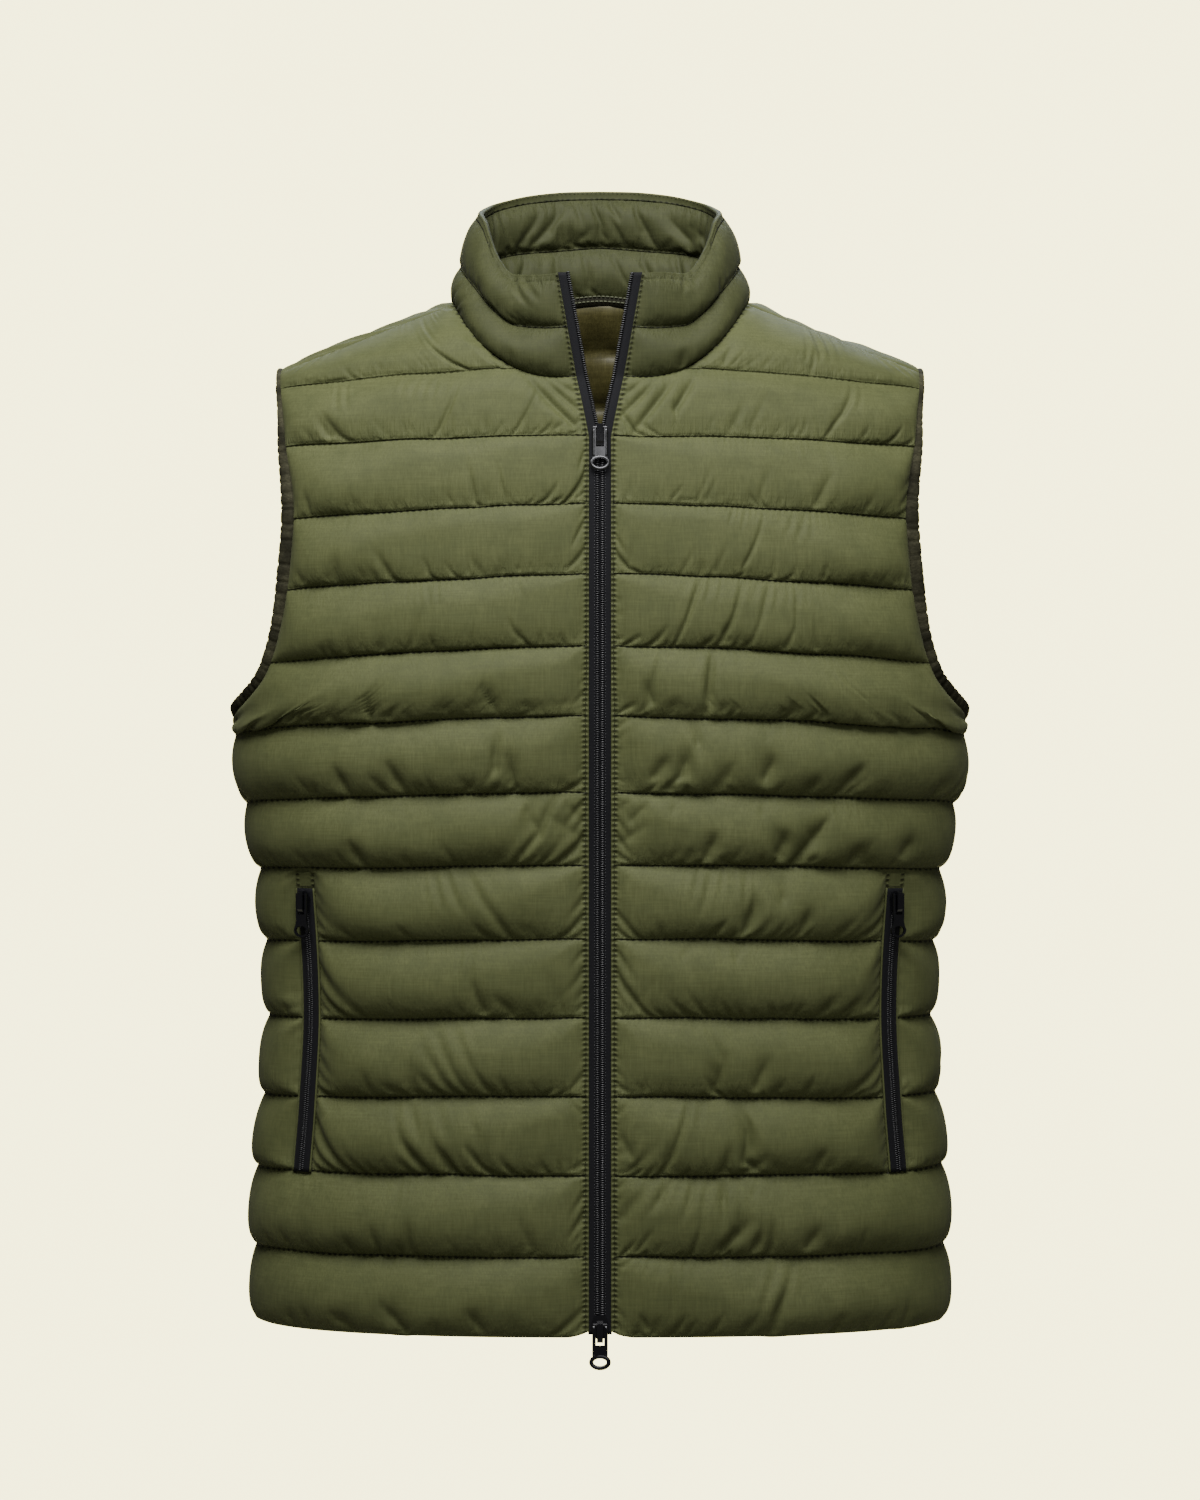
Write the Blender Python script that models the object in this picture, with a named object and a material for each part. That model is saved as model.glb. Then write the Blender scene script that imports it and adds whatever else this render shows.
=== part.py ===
"""A quilted puffer vest, filled out as when it is worn, with nobody in it.

Metres, +Z up. The wearer faces -Y and the wearer's left is +X. The origin is the middle of the
neck opening, at the height where the shoulders meet the neck: the wearer's shoulders hold it there.

The stitched shell of the vest is one smooth surface: a squarish oval at each height, closed over
the shoulders by a rounded ridge. Every panel is a patch of that surface, its channels raised
between the quilting lines, over a plain inside.
"""

import math

import bmesh
import bpy
import numpy as np
from mathutils import Matrix, Vector

# ---------------------------------------------------------------- driving sizes
GAP = 0.0003  # between two pieces that meet
WALL = 0.003  # thickness of a panel along its quilting lines
PUFF = 0.0080  # height of a full channel over its quilting lines
SHOULDER_FULL = 0.5  # how full the channels over the shoulders are, beside the others

# The stitched surface at each height, without its puffs.
BODY_SECTIONS = (
    # height, half width, depth in front, depth behind
    (-0.6900, 0.2320, 0.1040, 0.0920),
    (-0.6060, 0.2330, 0.1030, 0.0920),
    (-0.5350, 0.2275, 0.1010, 0.0880),
    (-0.4740, 0.2240, 0.1000, 0.0850),
    (-0.3820, 0.2300, 0.1010, 0.0880),
    (-0.3310, 0.2405, 0.1030, 0.0940),
    (-0.2790, 0.2487, 0.1050, 0.1000),
)
UNDERARM = BODY_SECTIONS[-1][0]  # height of the lowest point of an armhole
SQUARE_FRONT, SQUARE_BACK = 2.4, 2.7  # 2 is an ellipse, more is squarer

RIDGE_HEIGHT, SHOULDER_SLOPE, RIDGE_SOFT = 0.0440, 0.393, 0.02
SEAM_TURN = math.radians(79.0)  # the shoulder seam lies in front of the ridge, at 90 degrees

ARMHOLE = (
    # height, half width at the front edge, at the back edge
    (-0.2790, 0.2487, 0.2487),
    (-0.2749, 0.2455, 0.2465),
    (-0.2703, 0.2398, 0.2425),
    (-0.2608, 0.2300, 0.2355),
    (-0.2500, 0.2220, 0.2285),
    (-0.2300, 0.2145, 0.2205),
    (-0.2000, 0.2080, 0.2130),
    (-0.1700, 0.2045, 0.2110),
    (-0.1427, 0.2030, 0.2115),
    (-0.0902, 0.2110, 0.2150),
    (-0.0487, 0.2165, 0.2165),
)
SHOULDER_TIP = ARMHOLE[-1][1]

# The hem and the quilting lines from it up, at the zip, and how much lower each is at the side.
QUILTING = (
    # name, height at the zip, drop at the side
    ("hem", -0.6822, 0.001),
    ("line 13", -0.6302, 0.003),
    ("line 12", -0.5776, 0.002),
    ("line 11", -0.5262, 0.005),
    ("line 10", -0.4749, 0.004),
    ("line 9", -0.4235, 0.005),
    ("line 8", -0.3754, 0.005),
    ("line 7", -0.3280, 0.008),
    ("line 6", -0.2779, 0.012),
    ("line 5", -0.2324, 0.010),
    ("line 4", -0.1856, 0.009),
    ("line 3", -0.1394, 0.008),
    ("line 2", -0.0946, 0.004),
)
TOP_LINE_AT_ARMHOLE = -0.0576  # line 1 runs from the armhole to the collar
CHANNEL_MOST = 0.011  # nearer than this to the underarm, every row is carried through
CHANNEL_STEPS = (0.0, 0.15, 0.5, 0.85)
UNDERARM_STEPS = (0.0, 0.10, 0.228, 0.33, 0.5, 0.67, 0.85)  # the third is at the underarm
SHOULDER_STEPS = (0.0, 0.10, 0.28, 0.5, 0.72, 0.90)

# Neckline in plan: a squarish oval that the collar stands on.
NECK_HALF, NECK_FRONT, NECK_BACK = 0.100, 0.0844, 0.060
NECK_SQUARE_FRONT, NECK_SQUARE_BACK = 2.6, 2.2
TOP_LINE_NECK_TURN = math.radians(27.2)  # where line 1 meets the collar
SHOULDER_NECK_TURN = math.radians(78.0)  # where the shoulder seam meets it

# Columns of a front from the zip to the side, as shares of its width, and how full each is.
FRONT_COLUMNS = (
    # share, fullness
    (0.000, 0.00),
    (0.035, 0.62),
    (0.090, 0.92),
    (0.165, 1.00),
    (0.250, 1.00),
    (0.335, 1.00),
    (0.420, 1.00),
    (0.500, 0.95),
    (0.578, 0.90),
    (0.648, 0.90),
    (0.730, 0.95),
    (0.810, 1.00),
    (0.890, 0.85),
    (0.960, 0.50),
    (1.000, 0.20),
)
NECK_COLUMN = 3  # the front's column that ends where line 1 meets the collar
POCKET_COLUMNS = (8, 9)  # the pocket zip lies between these two
POCKET_CHANNELS = (2, 3, 4, 5)  # counted from the hem

# Columns of the back from its middle to one side.
BACK_COLUMNS = (
    (0.00, 1.00),
    (0.08, 1.00),
    (0.16, 1.00),
    (0.24, 1.00),
    (0.32, 1.00),
    (0.39, 1.00),
    (0.45, 1.00),
    (0.56, 1.00),
    (0.68, 1.00),
    (0.79, 1.00),
    (0.89, 0.85),
    (0.96, 0.50),
    (1.00, 0.20),
)
BACK_NECK_COLUMN = 6  # the back's column that ends where the shoulder seam meets the collar

# Collar: the rim from the middle of the front round to the middle of the back.
COLLAR_RIM = (
    # turn in degrees, x, y, z
    (0.0, 0.0000, -0.0800, 0.0143),
    (18.5, 0.0277, -0.0775, 0.0143),
    (37.0, 0.0550, -0.0600, 0.0150),
    (50.0, 0.0700, -0.0450, 0.0340),
    (65.0, 0.0770, -0.0260, 0.0560),
    (80.0, 0.0805, -0.0080, 0.0640),
    (100.0, 0.0810, 0.0120, 0.0680),
    (125.0, 0.0745, 0.0360, 0.0765),
    (150.0, 0.0490, 0.0540, 0.0860),
    (168.0, 0.0200, 0.0612, 0.0897),
    (180.0, 0.0000, 0.0620, 0.0901),
)
COLLAR_RIM_FIRST_TURN = 18.5
COLLAR_FIRST_X = 0.0155  # half the gap between the collar's ends, at its seam
COLLAR_WALL = 0.0036
COLLAR_PUFF, COLLAR_PUFF_INSIDE = 0.0055, 0.0044
COLLAR_ROWS = (
    # share of the height, fullness
    (0.000, 0.00),
    (0.075, 0.50),
    (0.240, 1.00),
    (0.410, 0.70),
    (0.490, 0.00),
    (0.565, 0.70),
    (0.710, 1.00),
    (0.860, 0.70),
    (0.930, 0.00),
    (1.000, 0.00),
)

# Neck tape, inside the collar's seam from one side of the neck round the back to the other.
NECK_TAPE_THICK, NECK_TAPE_ENDS = 0.0008, 0.28
NECK_TAPE_LOW, NECK_TAPE_HIGH = 0.05, 0.85  # shares of the collar's first row

# Binding round each armhole.
BINDING_WIDTH, BINDING_PROUD = 0.0060, 0.0007
BINDING_FULL_AT, BINDING_CROWN, BINDING_CORNER = 0.0043, 0.0002, 0.0012

# Front zip.
ZIP_HALF = 0.0072  # from the middle to a panel's folded edge where the zip is closed
ZIP_OPEN_ABOVE, ZIP_OPEN_SLOPE = -0.0935, 0.225
HEM_CORNER = 0.004  # the hem's corners at the zip are turned up by this much
TAPE_SHOWS, TAPE_THICK, TAPE_SUNK = 0.0067, 0.0016, 0.0005
TAPE_END = 0.002  # the tapes end this far above the hem
TAPE_PARTS_BELOW = -0.6765  # the tapes' ends part a little in the bottom slider
TAPE_STRAIGHT_TO = -0.660
TAPE_COLLAR_ROWS = (0, 2, 4, 6, 8, 9)  # the rows of the collar's front end that the tape passes

# Pocket zips.
POCKET_TOP, POCKET_BOTTOM = -0.3915, -0.5790
POCKET_SHARES = (0.5815, 0.6445)  # the tape's edges, as shares of the front's width
POCKET_TAPE_THICK, POCKET_TAPE_STATIONS = 0.0015, 11

# Slider and pull, measured from the pull's bar: z up along the zip, y out from it.
BAR_RADIUS, BAR_PLAY = 0.00075, 0.00035
PLATE_HALF, PLATE_THICK = 0.0052, 0.0012
BRIDGE_HALF, BRIDGE_THICK = 0.0020, 0.0012
BRIDGE_TOP, BRIDGE_BOTTOM, BRIDGE_FOOT = 0.0023, -0.0112, 0.0013
POST_HALF, POST_TOP, POST_LENGTH = 0.0006, 0.0020, 0.0016
BACK_PLATE_HALF, BACK_PLATE_THICK = 0.0046, 0.0010
PULL_HALF, PULL_SLOT_HALF, PULL_THICK = 0.0045, 0.0027, 0.0013
PULL_SLOT_BOTTOM, PULL_NECK = -0.0132, -0.0195
RING_CENTRE, RING_HALF, RING_HIGH = -0.0238, 0.0062, 0.0046
RING_HOLE_HALF, RING_HOLE_HIGH = 0.0047, 0.0031
BAR_TO_TAPE = BAR_RADIUS + BAR_PLAY + PLATE_THICK + GAP
TOP_BAR_HEIGHT, BOTTOM_BAR_HEIGHT, POCKET_BAR_HEIGHT = -0.0894, -0.6738, -0.3955
TOP_PLATE = (0.0023, -0.0120)  # top and bottom of the plate, from the bar
BOTTOM_PLATE = (0.0062, -0.0088)

OLIVE = (0.135, 0.145, 0.062)
LINING_OLIVE = (0.075, 0.080, 0.036)
BINDING_BROWN = (0.030, 0.029, 0.017)
ZIP_BLACK = (0.013, 0.013, 0.017)
GUNMETAL = (0.22, 0.22, 0.23)
SLIDER_BLACK = (0.02, 0.02, 0.022)


# ---------------------------------------------------------------- the stitched surface
def read_table(rows, key, column):
    """A column of a table at `key` of its first column, on a smooth curve through its rows."""
    keys = [row[0] for row in rows]
    values = [row[column] for row in rows]
    key = min(max(key, keys[0]), keys[-1])
    at = min(int(np.searchsorted(keys, key, side="right")) - 1, len(keys) - 2)
    steps = np.diff(keys)
    slopes = np.diff(values) / steps
    tangents = [slopes[0]]
    for low, high in zip(slopes[:-1], slopes[1:]):
        tangents.append(0.0 if low * high <= 0 else 2 * low * high / (low + high))
    tangents.append(slopes[-1])
    step = steps[at]
    t = (key - keys[at]) / step
    return (
        values[at] * (1 + 2 * t) * (1 - t) ** 2
        + tangents[at] * step * t * (1 - t) ** 2
        + values[at + 1] * t * t * (3 - 2 * t)
        - tangents[at + 1] * step * t * t * (1 - t)
    )


def half_width(z):
    return read_table(BODY_SECTIONS, z, 1)


def depth(z, behind):
    return read_table(BODY_SECTIONS, z, 3 if behind else 2)


def ridge(x):
    """Height of the shoulders' ridge at x."""
    return RIDGE_HEIGHT - SHOULDER_SLOPE * math.hypot(x, RIDGE_SOFT)


def squareness(behind):
    return SQUARE_BACK if behind else SQUARE_FRONT


def rise(x, z):
    """How far z is from the underarm, 0, to the ridge, 1."""
    return max(0.0, (z - UNDERARM) / (ridge(x) - UNDERARM))


def inside_by(point, behind):
    """Negative inside the stitched surface, positive outside."""
    x, y, z = point
    n = squareness(behind)
    side = 1 - abs(x / half_width(z)) ** n
    return abs(y / depth(z, behind)) ** n - side * (1 - rise(x, z) ** n)


def normal_at(point, behind):
    """The way out of the stitched surface."""
    step = 1e-5
    slope = []
    for axis in range(3):
        ahead, back = list(point), list(point)
        ahead[axis] += step
        back[axis] -= step
        slope.append(inside_by(ahead, behind) - inside_by(back, behind))
    return Vector(slope).normalized()


def on_surface(x, z, behind):
    """The point of the surface at this place across and height."""
    n = squareness(behind)
    side = max(0.0, 1 - abs(x / half_width(z)) ** n)
    up = max(0.0, 1 - rise(x, z) ** n)
    y = depth(z, behind) * (side * up) ** (1 / n)
    return Vector((x, y if behind else -y, z))


def over_shoulder(x, turn):
    """A point above the underarm, at `turn` from the front, 0, over the ridge to the back, pi."""
    behind = turn > math.pi / 2
    n = squareness(behind)
    z = UNDERARM + (ridge(x) - UNDERARM) * math.sin(turn) ** (2 / n)
    side = max(0.0, 1 - abs(x / half_width(z)) ** n)
    y = depth(z, behind) * side ** (1 / n) * abs(math.cos(turn)) ** (2 / n)
    return Vector((x, y if behind else -y, z))


def turn_of(point, behind):
    """The turn of a point of the surface, as over_shoulder takes it."""
    share = min(1.0, rise(point.x, point.z) ** (squareness(behind) / 2))
    return math.pi - math.asin(share) if behind else math.asin(share)


def across(share, first, last, width, behind):
    """Place across of a column between two places, evenly round the oval."""
    n = squareness(behind)
    start = math.asin(min(1.0, first / width) ** (n / 2))
    end = math.asin(min(1.0, last / width) ** (n / 2))
    return width * math.sin(start + (end - start) * share) ** (2 / n)


def armhole_edge(z, behind):
    return read_table(ARMHOLE, z, 2 if behind else 1)


def neckline(turn):
    """A point of the collar's seam, at `turn` from the middle of the front, 0, to the back's, pi."""
    behind = turn > math.pi / 2
    power = 2 / (NECK_SQUARE_BACK if behind else NECK_SQUARE_FRONT)
    x = NECK_HALF * math.sin(turn) ** power
    y = (NECK_BACK if behind else NECK_FRONT) * abs(math.cos(turn)) ** power
    n = squareness(behind)
    width, deep = half_width(UNDERARM), depth(UNDERARM, behind)
    share = 1 - (y / deep) ** n / (1 - (x / width) ** n)
    z = UNDERARM + (ridge(x) - UNDERARM) * share ** (1 / n)
    return Vector((x, y if behind else -y, z))


def channel_fullness(step):
    """How full a channel is from one quilting line, 0, to the next, 1."""
    return max(0.0, 1 - abs(2 * step - 1) ** 2.2) ** 0.6


# ---------------------------------------------------------------- meshes and materials
def material(name, colour, roughness, metallic=0.0):
    found = bpy.data.materials.get(name)
    if found:
        return found
    made = bpy.data.materials.new(name)
    made.use_nodes = True
    shader = made.node_tree.nodes["Principled BSDF"]
    shader.inputs["Base Color"].default_value = (*colour, 1.0)
    shader.inputs["Roughness"].default_value = roughness
    shader.inputs["Metallic"].default_value = metallic
    made.diffuse_color = (*colour, 1.0)
    return made


def add_object(name, points, faces, finish, mirror=False):
    """A closed mesh object, its faces turned out; a mirrored one is the wearer's other side."""
    mesh = bpy.data.meshes.new(name)
    side = -1 if mirror else 1
    mesh.from_pydata([(side * p[0], p[1], p[2]) for p in points], [], faces)
    work = bmesh.new()
    work.from_mesh(mesh)
    bmesh.ops.recalc_face_normals(work, faces=work.faces)
    work.to_mesh(mesh)
    work.free()
    mesh.shade_smooth()
    mesh.set_sharp_from_angle(angle=math.radians(40))
    mesh.materials.append(finish)
    made = bpy.data.objects.new(name, mesh)
    bpy.context.scene.collection.objects.link(made)
    return made


class Sheet:
    """Points of a panel in rows and columns, each with its way out and how far it is raised."""

    def __init__(self):
        self.rows = []
        self.first_column = []  # of each row: rows beside the neck start further on
        self.carried = []  # whether the row is carried through to the plain inside

    def add(self, points, ways, heights, first=0, carried=False):
        self.rows.append(list(zip(points, ways, heights)))
        self.first_column.append(first)
        self.carried.append(carried)

    def outer(self, row, column):
        point, way, height = self.rows[row][column - self.first_column[row]]
        return point + way * height

    def inner(self, row, column):
        point, way, _ = self.rows[row][column - self.first_column[row]]
        return point - way * WALL

    def outline(self):
        """Rows and columns of the edge, once round."""
        last_row, last = len(self.rows) - 1, self.first_column[0] + len(self.rows[0]) - 1
        notch = self.first_column[-1]
        turn_row = self.first_column.index(notch) - 1 if notch else last_row
        edge = [(0, c) for c in range(last)]
        edge += [(r, last) for r in range(last_row)]
        edge += [(last_row, c) for c in range(last, notch, -1)]
        edge += [(r, notch) for r in range(last_row, turn_row, -1)]
        edge += [(turn_row, c) for c in range(notch, 0, -1)]
        edge += [(r, 0) for r in range(turn_row, 0, -1)]
        return edge


def grid_faces(index, rows, first_columns, last_column):
    faces = []
    for low, high in zip(rows[:-1], rows[1:]):
        start = max(first_columns[low], first_columns[high])
        for c in range(start, last_column):
            faces.append([index[low, c], index[low, c + 1], index[high, c + 1], index[high, c]])
    return faces


def wall_between(sheet):
    """Points and faces of a closed wall: the raised outside, a plain inside and the edge."""
    last = sheet.first_column[0] + len(sheet.rows[0]) - 1
    rows = range(len(sheet.rows))
    plain_rows = [r for r in rows if sheet.carried[r]]
    points, outer, inner = [], {}, {}
    for r in rows:
        for c in range(sheet.first_column[r], last + 1):
            outer[r, c] = len(points)
            points.append(sheet.outer(r, c))
    for r in plain_rows:
        for c in range(sheet.first_column[r], last + 1):
            inner[r, c] = len(points)
            points.append(sheet.inner(r, c))
    faces = grid_faces(outer, list(rows), sheet.first_column, last)
    faces += [face[::-1] for face in grid_faces(inner, plain_rows, sheet.first_column, last)]
    edge = sheet.outline()
    start = next(i for i, key in enumerate(edge) if key in inner)
    edge = edge[start:] + edge[: start + 1]
    run = [edge[0]]
    for key in edge[1:]:
        run.append(key)
        if key in inner:
            faces.append([outer[k] for k in run] + [inner[run[-1]], inner[run[0]]])
            run = [key]
    return points, faces


def strip(stations, closed):
    """Points and faces of a bar through stations, each a ring of the same number of points."""
    count = len(stations[0])
    points = [p for ring in stations for p in ring]
    faces = []
    rings = len(stations)
    for r in range(rings if closed else rings - 1):
        here, there = r * count, (r + 1) % rings * count
        for c in range(count):
            d = (c + 1) % count
            faces.append([here + c, here + d, there + d, there + c])
    if not closed:
        faces.append(list(range(count)))
        faces.append([(rings - 1) * count + c for c in reversed(range(count))])
    return points, faces


# ---------------------------------------------------------------- panels
def zip_edge(z):
    """Place across of a front's folded edge at the zip."""
    beyond = max(0.0, z - ZIP_OPEN_ABOVE)
    return ZIP_HALF + ZIP_OPEN_SLOPE * beyond


def low_row(z_first, z_last, columns, behind, first_x=None):
    """Points of a row below the neck, from the zip or the middle to the side or the armhole."""
    edge = armhole_edge(z_last, behind) if z_last > UNDERARM else half_width(z_last)
    start = zip_edge(z_first) if first_x is None else first_x
    points = []
    for share, _ in columns:
        z = z_first + (z_last - z_first) * share
        width = half_width(z)
        last = min(edge * width / half_width(z_last), width)
        points.append(on_surface(across(share, start, last, width, behind), z, behind))
    return points


def mixed_turns(low, high, step, behind):
    """A row between two others of the shoulder, evenly in place across and in turn."""
    points = []
    for a, b in zip(low, high):
        turn_a, turn_b = turn_of(a, behind), turn_of(b, behind)
        if behind and b.y < 0:
            turn_b = turn_of(b, False)
        x = a.x + (b.x - a.x) * step
        points.append(over_shoulder(x, turn_a + (turn_b - turn_a) * step))
    return points


def side_gap(points, z, behind):
    """Draws the last column back from the side seam."""
    if z <= UNDERARM + GAP:
        points[-1] = points[-1] + Vector((0, (GAP if behind else -GAP) / 2, 0))
    return points


def fullness(columns, step, z_side, channel=None, most=1.0):
    """How far each column is raised at this step of a channel."""
    heights = []
    for c, (_, full) in enumerate(columns):
        if c == len(columns) - 1 and z_side > UNDERARM - GAP:
            full = 0.0
        if channel in POCKET_CHANNELS and c in POCKET_COLUMNS:
            full = 0.0
        heights.append(PUFF * most * full * channel_fullness(step))
    return heights


def steps_of(number):
    low, high = QUILTING[number], QUILTING[number + 1]
    holds_underarm = low[1] - low[2] < UNDERARM < high[1] - high[2]
    return UNDERARM_STEPS if holds_underarm else CHANNEL_STEPS


def is_carried(step, z_side):
    """Whether a row reaches the plain inside, which has more rows beside an armhole."""
    if z_side < UNDERARM - CHANNEL_MOST:
        return step == 0.0
    return step in (0.0, 0.5) or z_side < UNDERARM + CHANNEL_MOST


def ways_out(points, behind):
    return [normal_at(p, behind and p.y > 0) for p in points]


def front_sheet():
    sheet = Sheet()
    columns = FRONT_COLUMNS
    for number in range(len(QUILTING) - 1):
        low, high = QUILTING[number], QUILTING[number + 1]
        for step in steps_of(number):
            z_first = low[1] + (high[1] - low[1]) * step
            z_last = z_first - (low[2] + (high[2] - low[2]) * step)
            if abs(z_last - UNDERARM) < GAP:
                z_last = UNDERARM
            points = side_gap(low_row(z_first, z_last, columns, False), z_last, False)
            if number == 0 and step == 0.0:
                points[0] = on_surface(points[0].x, points[0].z + HEM_CORNER, False)
            heights = fullness(columns, step, z_last, number)
            carried = is_carried(step, z_last)
            sheet.add(points, ways_out(points, False), heights, carried=carried)

    line_2 = low_row(QUILTING[-1][1], QUILTING[-1][1] - QUILTING[-1][2], columns, False)
    line_1 = front_line_1()
    for step in CHANNEL_STEPS:
        points = mixed_turns(line_2, line_1, step, False)
        heights = fullness(columns, step, 0.0)
        sheet.add(points, ways_out(points, False), heights, carried=step in (0.0, 0.5))
    ways = ways_out(line_1, False)
    sheet.add(line_1, ways, [0.0] * len(line_1), carried=True)

    line_1 = line_1[NECK_COLUMN:]
    seam = shoulder_seam_front()
    count = len(seam) - 1
    for step, turn in zip((*SHOULDER_STEPS[1:], 1.0), shoulder_neck_turns()[1:]):
        points = mixed_turns(line_1, seam, step, False)
        neck = neckline(turn)
        shift = neck - points[0]
        for c in range(count + 1):
            fade = (1 - c / count) ** 3
            moved = points[c] + shift * fade
            points[c] = on_surface(moved.x, moved.z, False) if c else neck
        heights = fullness(columns[NECK_COLUMN:], step, 0.0, most=SHOULDER_FULL)
        heights[0] = 0.0
        if step == 1.0:
            points = seam
        sheet.add(points, ways_out(points, False), heights, NECK_COLUMN, carried=True)
    return sheet


def front_line_1():
    """The front's top row: along the collar from the zip, then line 1 to the armhole."""
    shares = [share for share, _ in FRONT_COLUMNS]
    neck_share = shares[NECK_COLUMN]
    points = [neckline(turn) for turn in front_neck_turns()[:-1]]
    corner = neckline(TOP_LINE_NECK_TURN)
    z_last = TOP_LINE_AT_ARMHOLE
    width = half_width(UNDERARM)
    for share in shares[NECK_COLUMN:]:
        part = (share - neck_share) / (1 - neck_share)
        x = across(part, corner.x, armhole_edge(z_last, False), width, False)
        points.append(on_surface(x, corner.z + (z_last - corner.z) * part, False))
    points[NECK_COLUMN] = corner
    return points


def neck_turn_at(x):
    """The turn of the neckline's point in front at this place across."""
    return math.asin((x / NECK_HALF) ** (NECK_SQUARE_FRONT / 2))


def front_neck_turns():
    """Turns of the front's columns that end on the collar, from the zip to line 1."""
    shares = [share for share, _ in FRONT_COLUMNS[: NECK_COLUMN + 1]]
    return turns_between(neck_turn_at(COLLAR_FIRST_X), TOP_LINE_NECK_TURN, shares)


def shoulder_neck_turns():
    """Turns of the front's rows that start on the collar, from line 1 to the shoulder seam."""
    return turns_between(TOP_LINE_NECK_TURN, SHOULDER_NECK_TURN, (*SHOULDER_STEPS, 1.0))


def back_neck_turns():
    """Turns of the back's columns that end on the collar, from the middle to the shoulder seam."""
    shares = [share for share, _ in BACK_COLUMNS[: BACK_NECK_COLUMN + 1]]
    return turns_between(math.pi, SHOULDER_NECK_TURN, shares)


def turns_between(first, last, shares):
    return [first + (last - first) * share / shares[-1] for share in shares]


def shoulder_seam_front():
    """The shoulder seam from the collar to the armhole, drawn back to the front by half a gap."""
    turn = SEAM_TURN - GAP / 2 / depth(UNDERARM, False)
    shares = [share for share, _ in FRONT_COLUMNS[NECK_COLUMN:]]
    neck_x = neckline(SHOULDER_NECK_TURN).x
    points = []
    for share in shares:
        part = (share - shares[0]) / (1 - shares[0])
        points.append(over_shoulder(neck_x + (SHOULDER_TIP - neck_x) * part, turn))
    return points


def back_half_rows():
    """Rows of the wearer's left half of the back: points, ways out, heights, carried or not."""
    columns = BACK_COLUMNS
    rows = []
    for number in range(len(QUILTING) - 1):
        low, high = QUILTING[number], QUILTING[number + 1]
        for step in steps_of(number):
            z_front = low[1] + (high[1] - low[1]) * step
            z = z_front - (low[2] + (high[2] - low[2]) * step)
            if abs(z - UNDERARM) < GAP:
                z = UNDERARM
            points = side_gap(low_row(z, z, columns, True, 0.0), z, True)
            heights = fullness(columns, step, z)
            rows.append((points, ways_out(points, True), heights, is_carried(step, z)))
    z_2 = QUILTING[-1][1] - QUILTING[-1][2]
    line_2 = low_row(z_2, z_2, columns, True, 0.0)
    line_1 = low_row(TOP_LINE_AT_ARMHOLE, TOP_LINE_AT_ARMHOLE, columns, True, 0.0)
    for step in CHANNEL_STEPS:
        points = mixed_turns(line_2, line_1, step, True)
        heights = fullness(columns, step, 0.0)
        rows.append((points, ways_out(points, True), heights, step in (0.0, 0.5)))
    top = back_top()
    for whole in range(2):
        for step in CHANNEL_STEPS:
            points = mixed_turns(line_1, top, (whole + step) / 2, True)
            most = SHOULDER_FULL if whole else (1 + SHOULDER_FULL) / 2
            heights = fullness(columns, step, 0.0, most=most)
            rows.append((points, ways_out(points, True), heights, step in (0.0, 0.5)))
    rows.append((top, ways_out(top, True), [0.0] * len(top), True))
    return rows


def back_top():
    """The back's top edge: round the neck, then along the shoulder seam to the armhole."""
    seam_turn = SEAM_TURN + GAP / 2 / depth(UNDERARM, False)
    corner = neckline(SHOULDER_NECK_TURN)
    shares = [share for share, _ in BACK_COLUMNS]
    corner_share = shares[BACK_NECK_COLUMN]
    points = [neckline(turn) for turn in back_neck_turns()]
    points[0].x = 0.0
    points[-1] = over_shoulder(corner.x, seam_turn)
    for share in shares[BACK_NECK_COLUMN + 1 :]:
        part = (share - corner_share) / (1 - corner_share)
        points.append(over_shoulder(corner.x + (SHOULDER_TIP - corner.x) * part, seam_turn))
    return points


def flipped(vector):
    return Vector((-vector.x, vector.y, vector.z))


def back_sheet():
    """Both halves of the back in one, from the wearer's right side to the left."""
    sheet = Sheet()
    for points, ways, heights, carried in back_half_rows():
        sheet.add(
            [flipped(p) for p in points[:0:-1]] + points,
            [flipped(w) for w in ways[:0:-1]] + ways,
            heights[:0:-1] + heights,
            carried=carried,
        )
    return sheet


# ---------------------------------------------------------------- collar and neck tape
def collar_seam(turn):
    """Outer and inner point of the collar's lower edge, a gap beyond the panels' edge."""
    point = neckline(turn)
    out = normal_at(point, point.y > 0)
    step = 1e-4
    along = (neckline(min(turn + step, math.pi)) - neckline(turn - step)).normalized()
    beyond = out.cross(along).normalized()
    if beyond.z < 0:
        beyond = -beyond
    start = point + beyond * GAP
    return start, start - out * WALL


def rim_point(turn_degrees):
    return Vector([read_table(COLLAR_RIM, turn_degrees, column) for column in (1, 2, 3)])


def collar_half_columns():
    """Outer and inner seam point and rim point of each column, from the zip to the back's middle."""
    turns = front_neck_turns() + shoulder_neck_turns()[1:] + back_neck_turns()[-2::-1]
    found = []
    for turn in turns:
        share = (turn - turns[0]) / (math.pi - turns[0])
        high = COLLAR_RIM_FIRST_TURN + (180.0 - COLLAR_RIM_FIRST_TURN) * share
        outer, inner = collar_seam(turn)
        found.append((outer, inner, rim_point(high)))
    for point in found[-1]:
        point.x = 0.0
    return found


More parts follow.
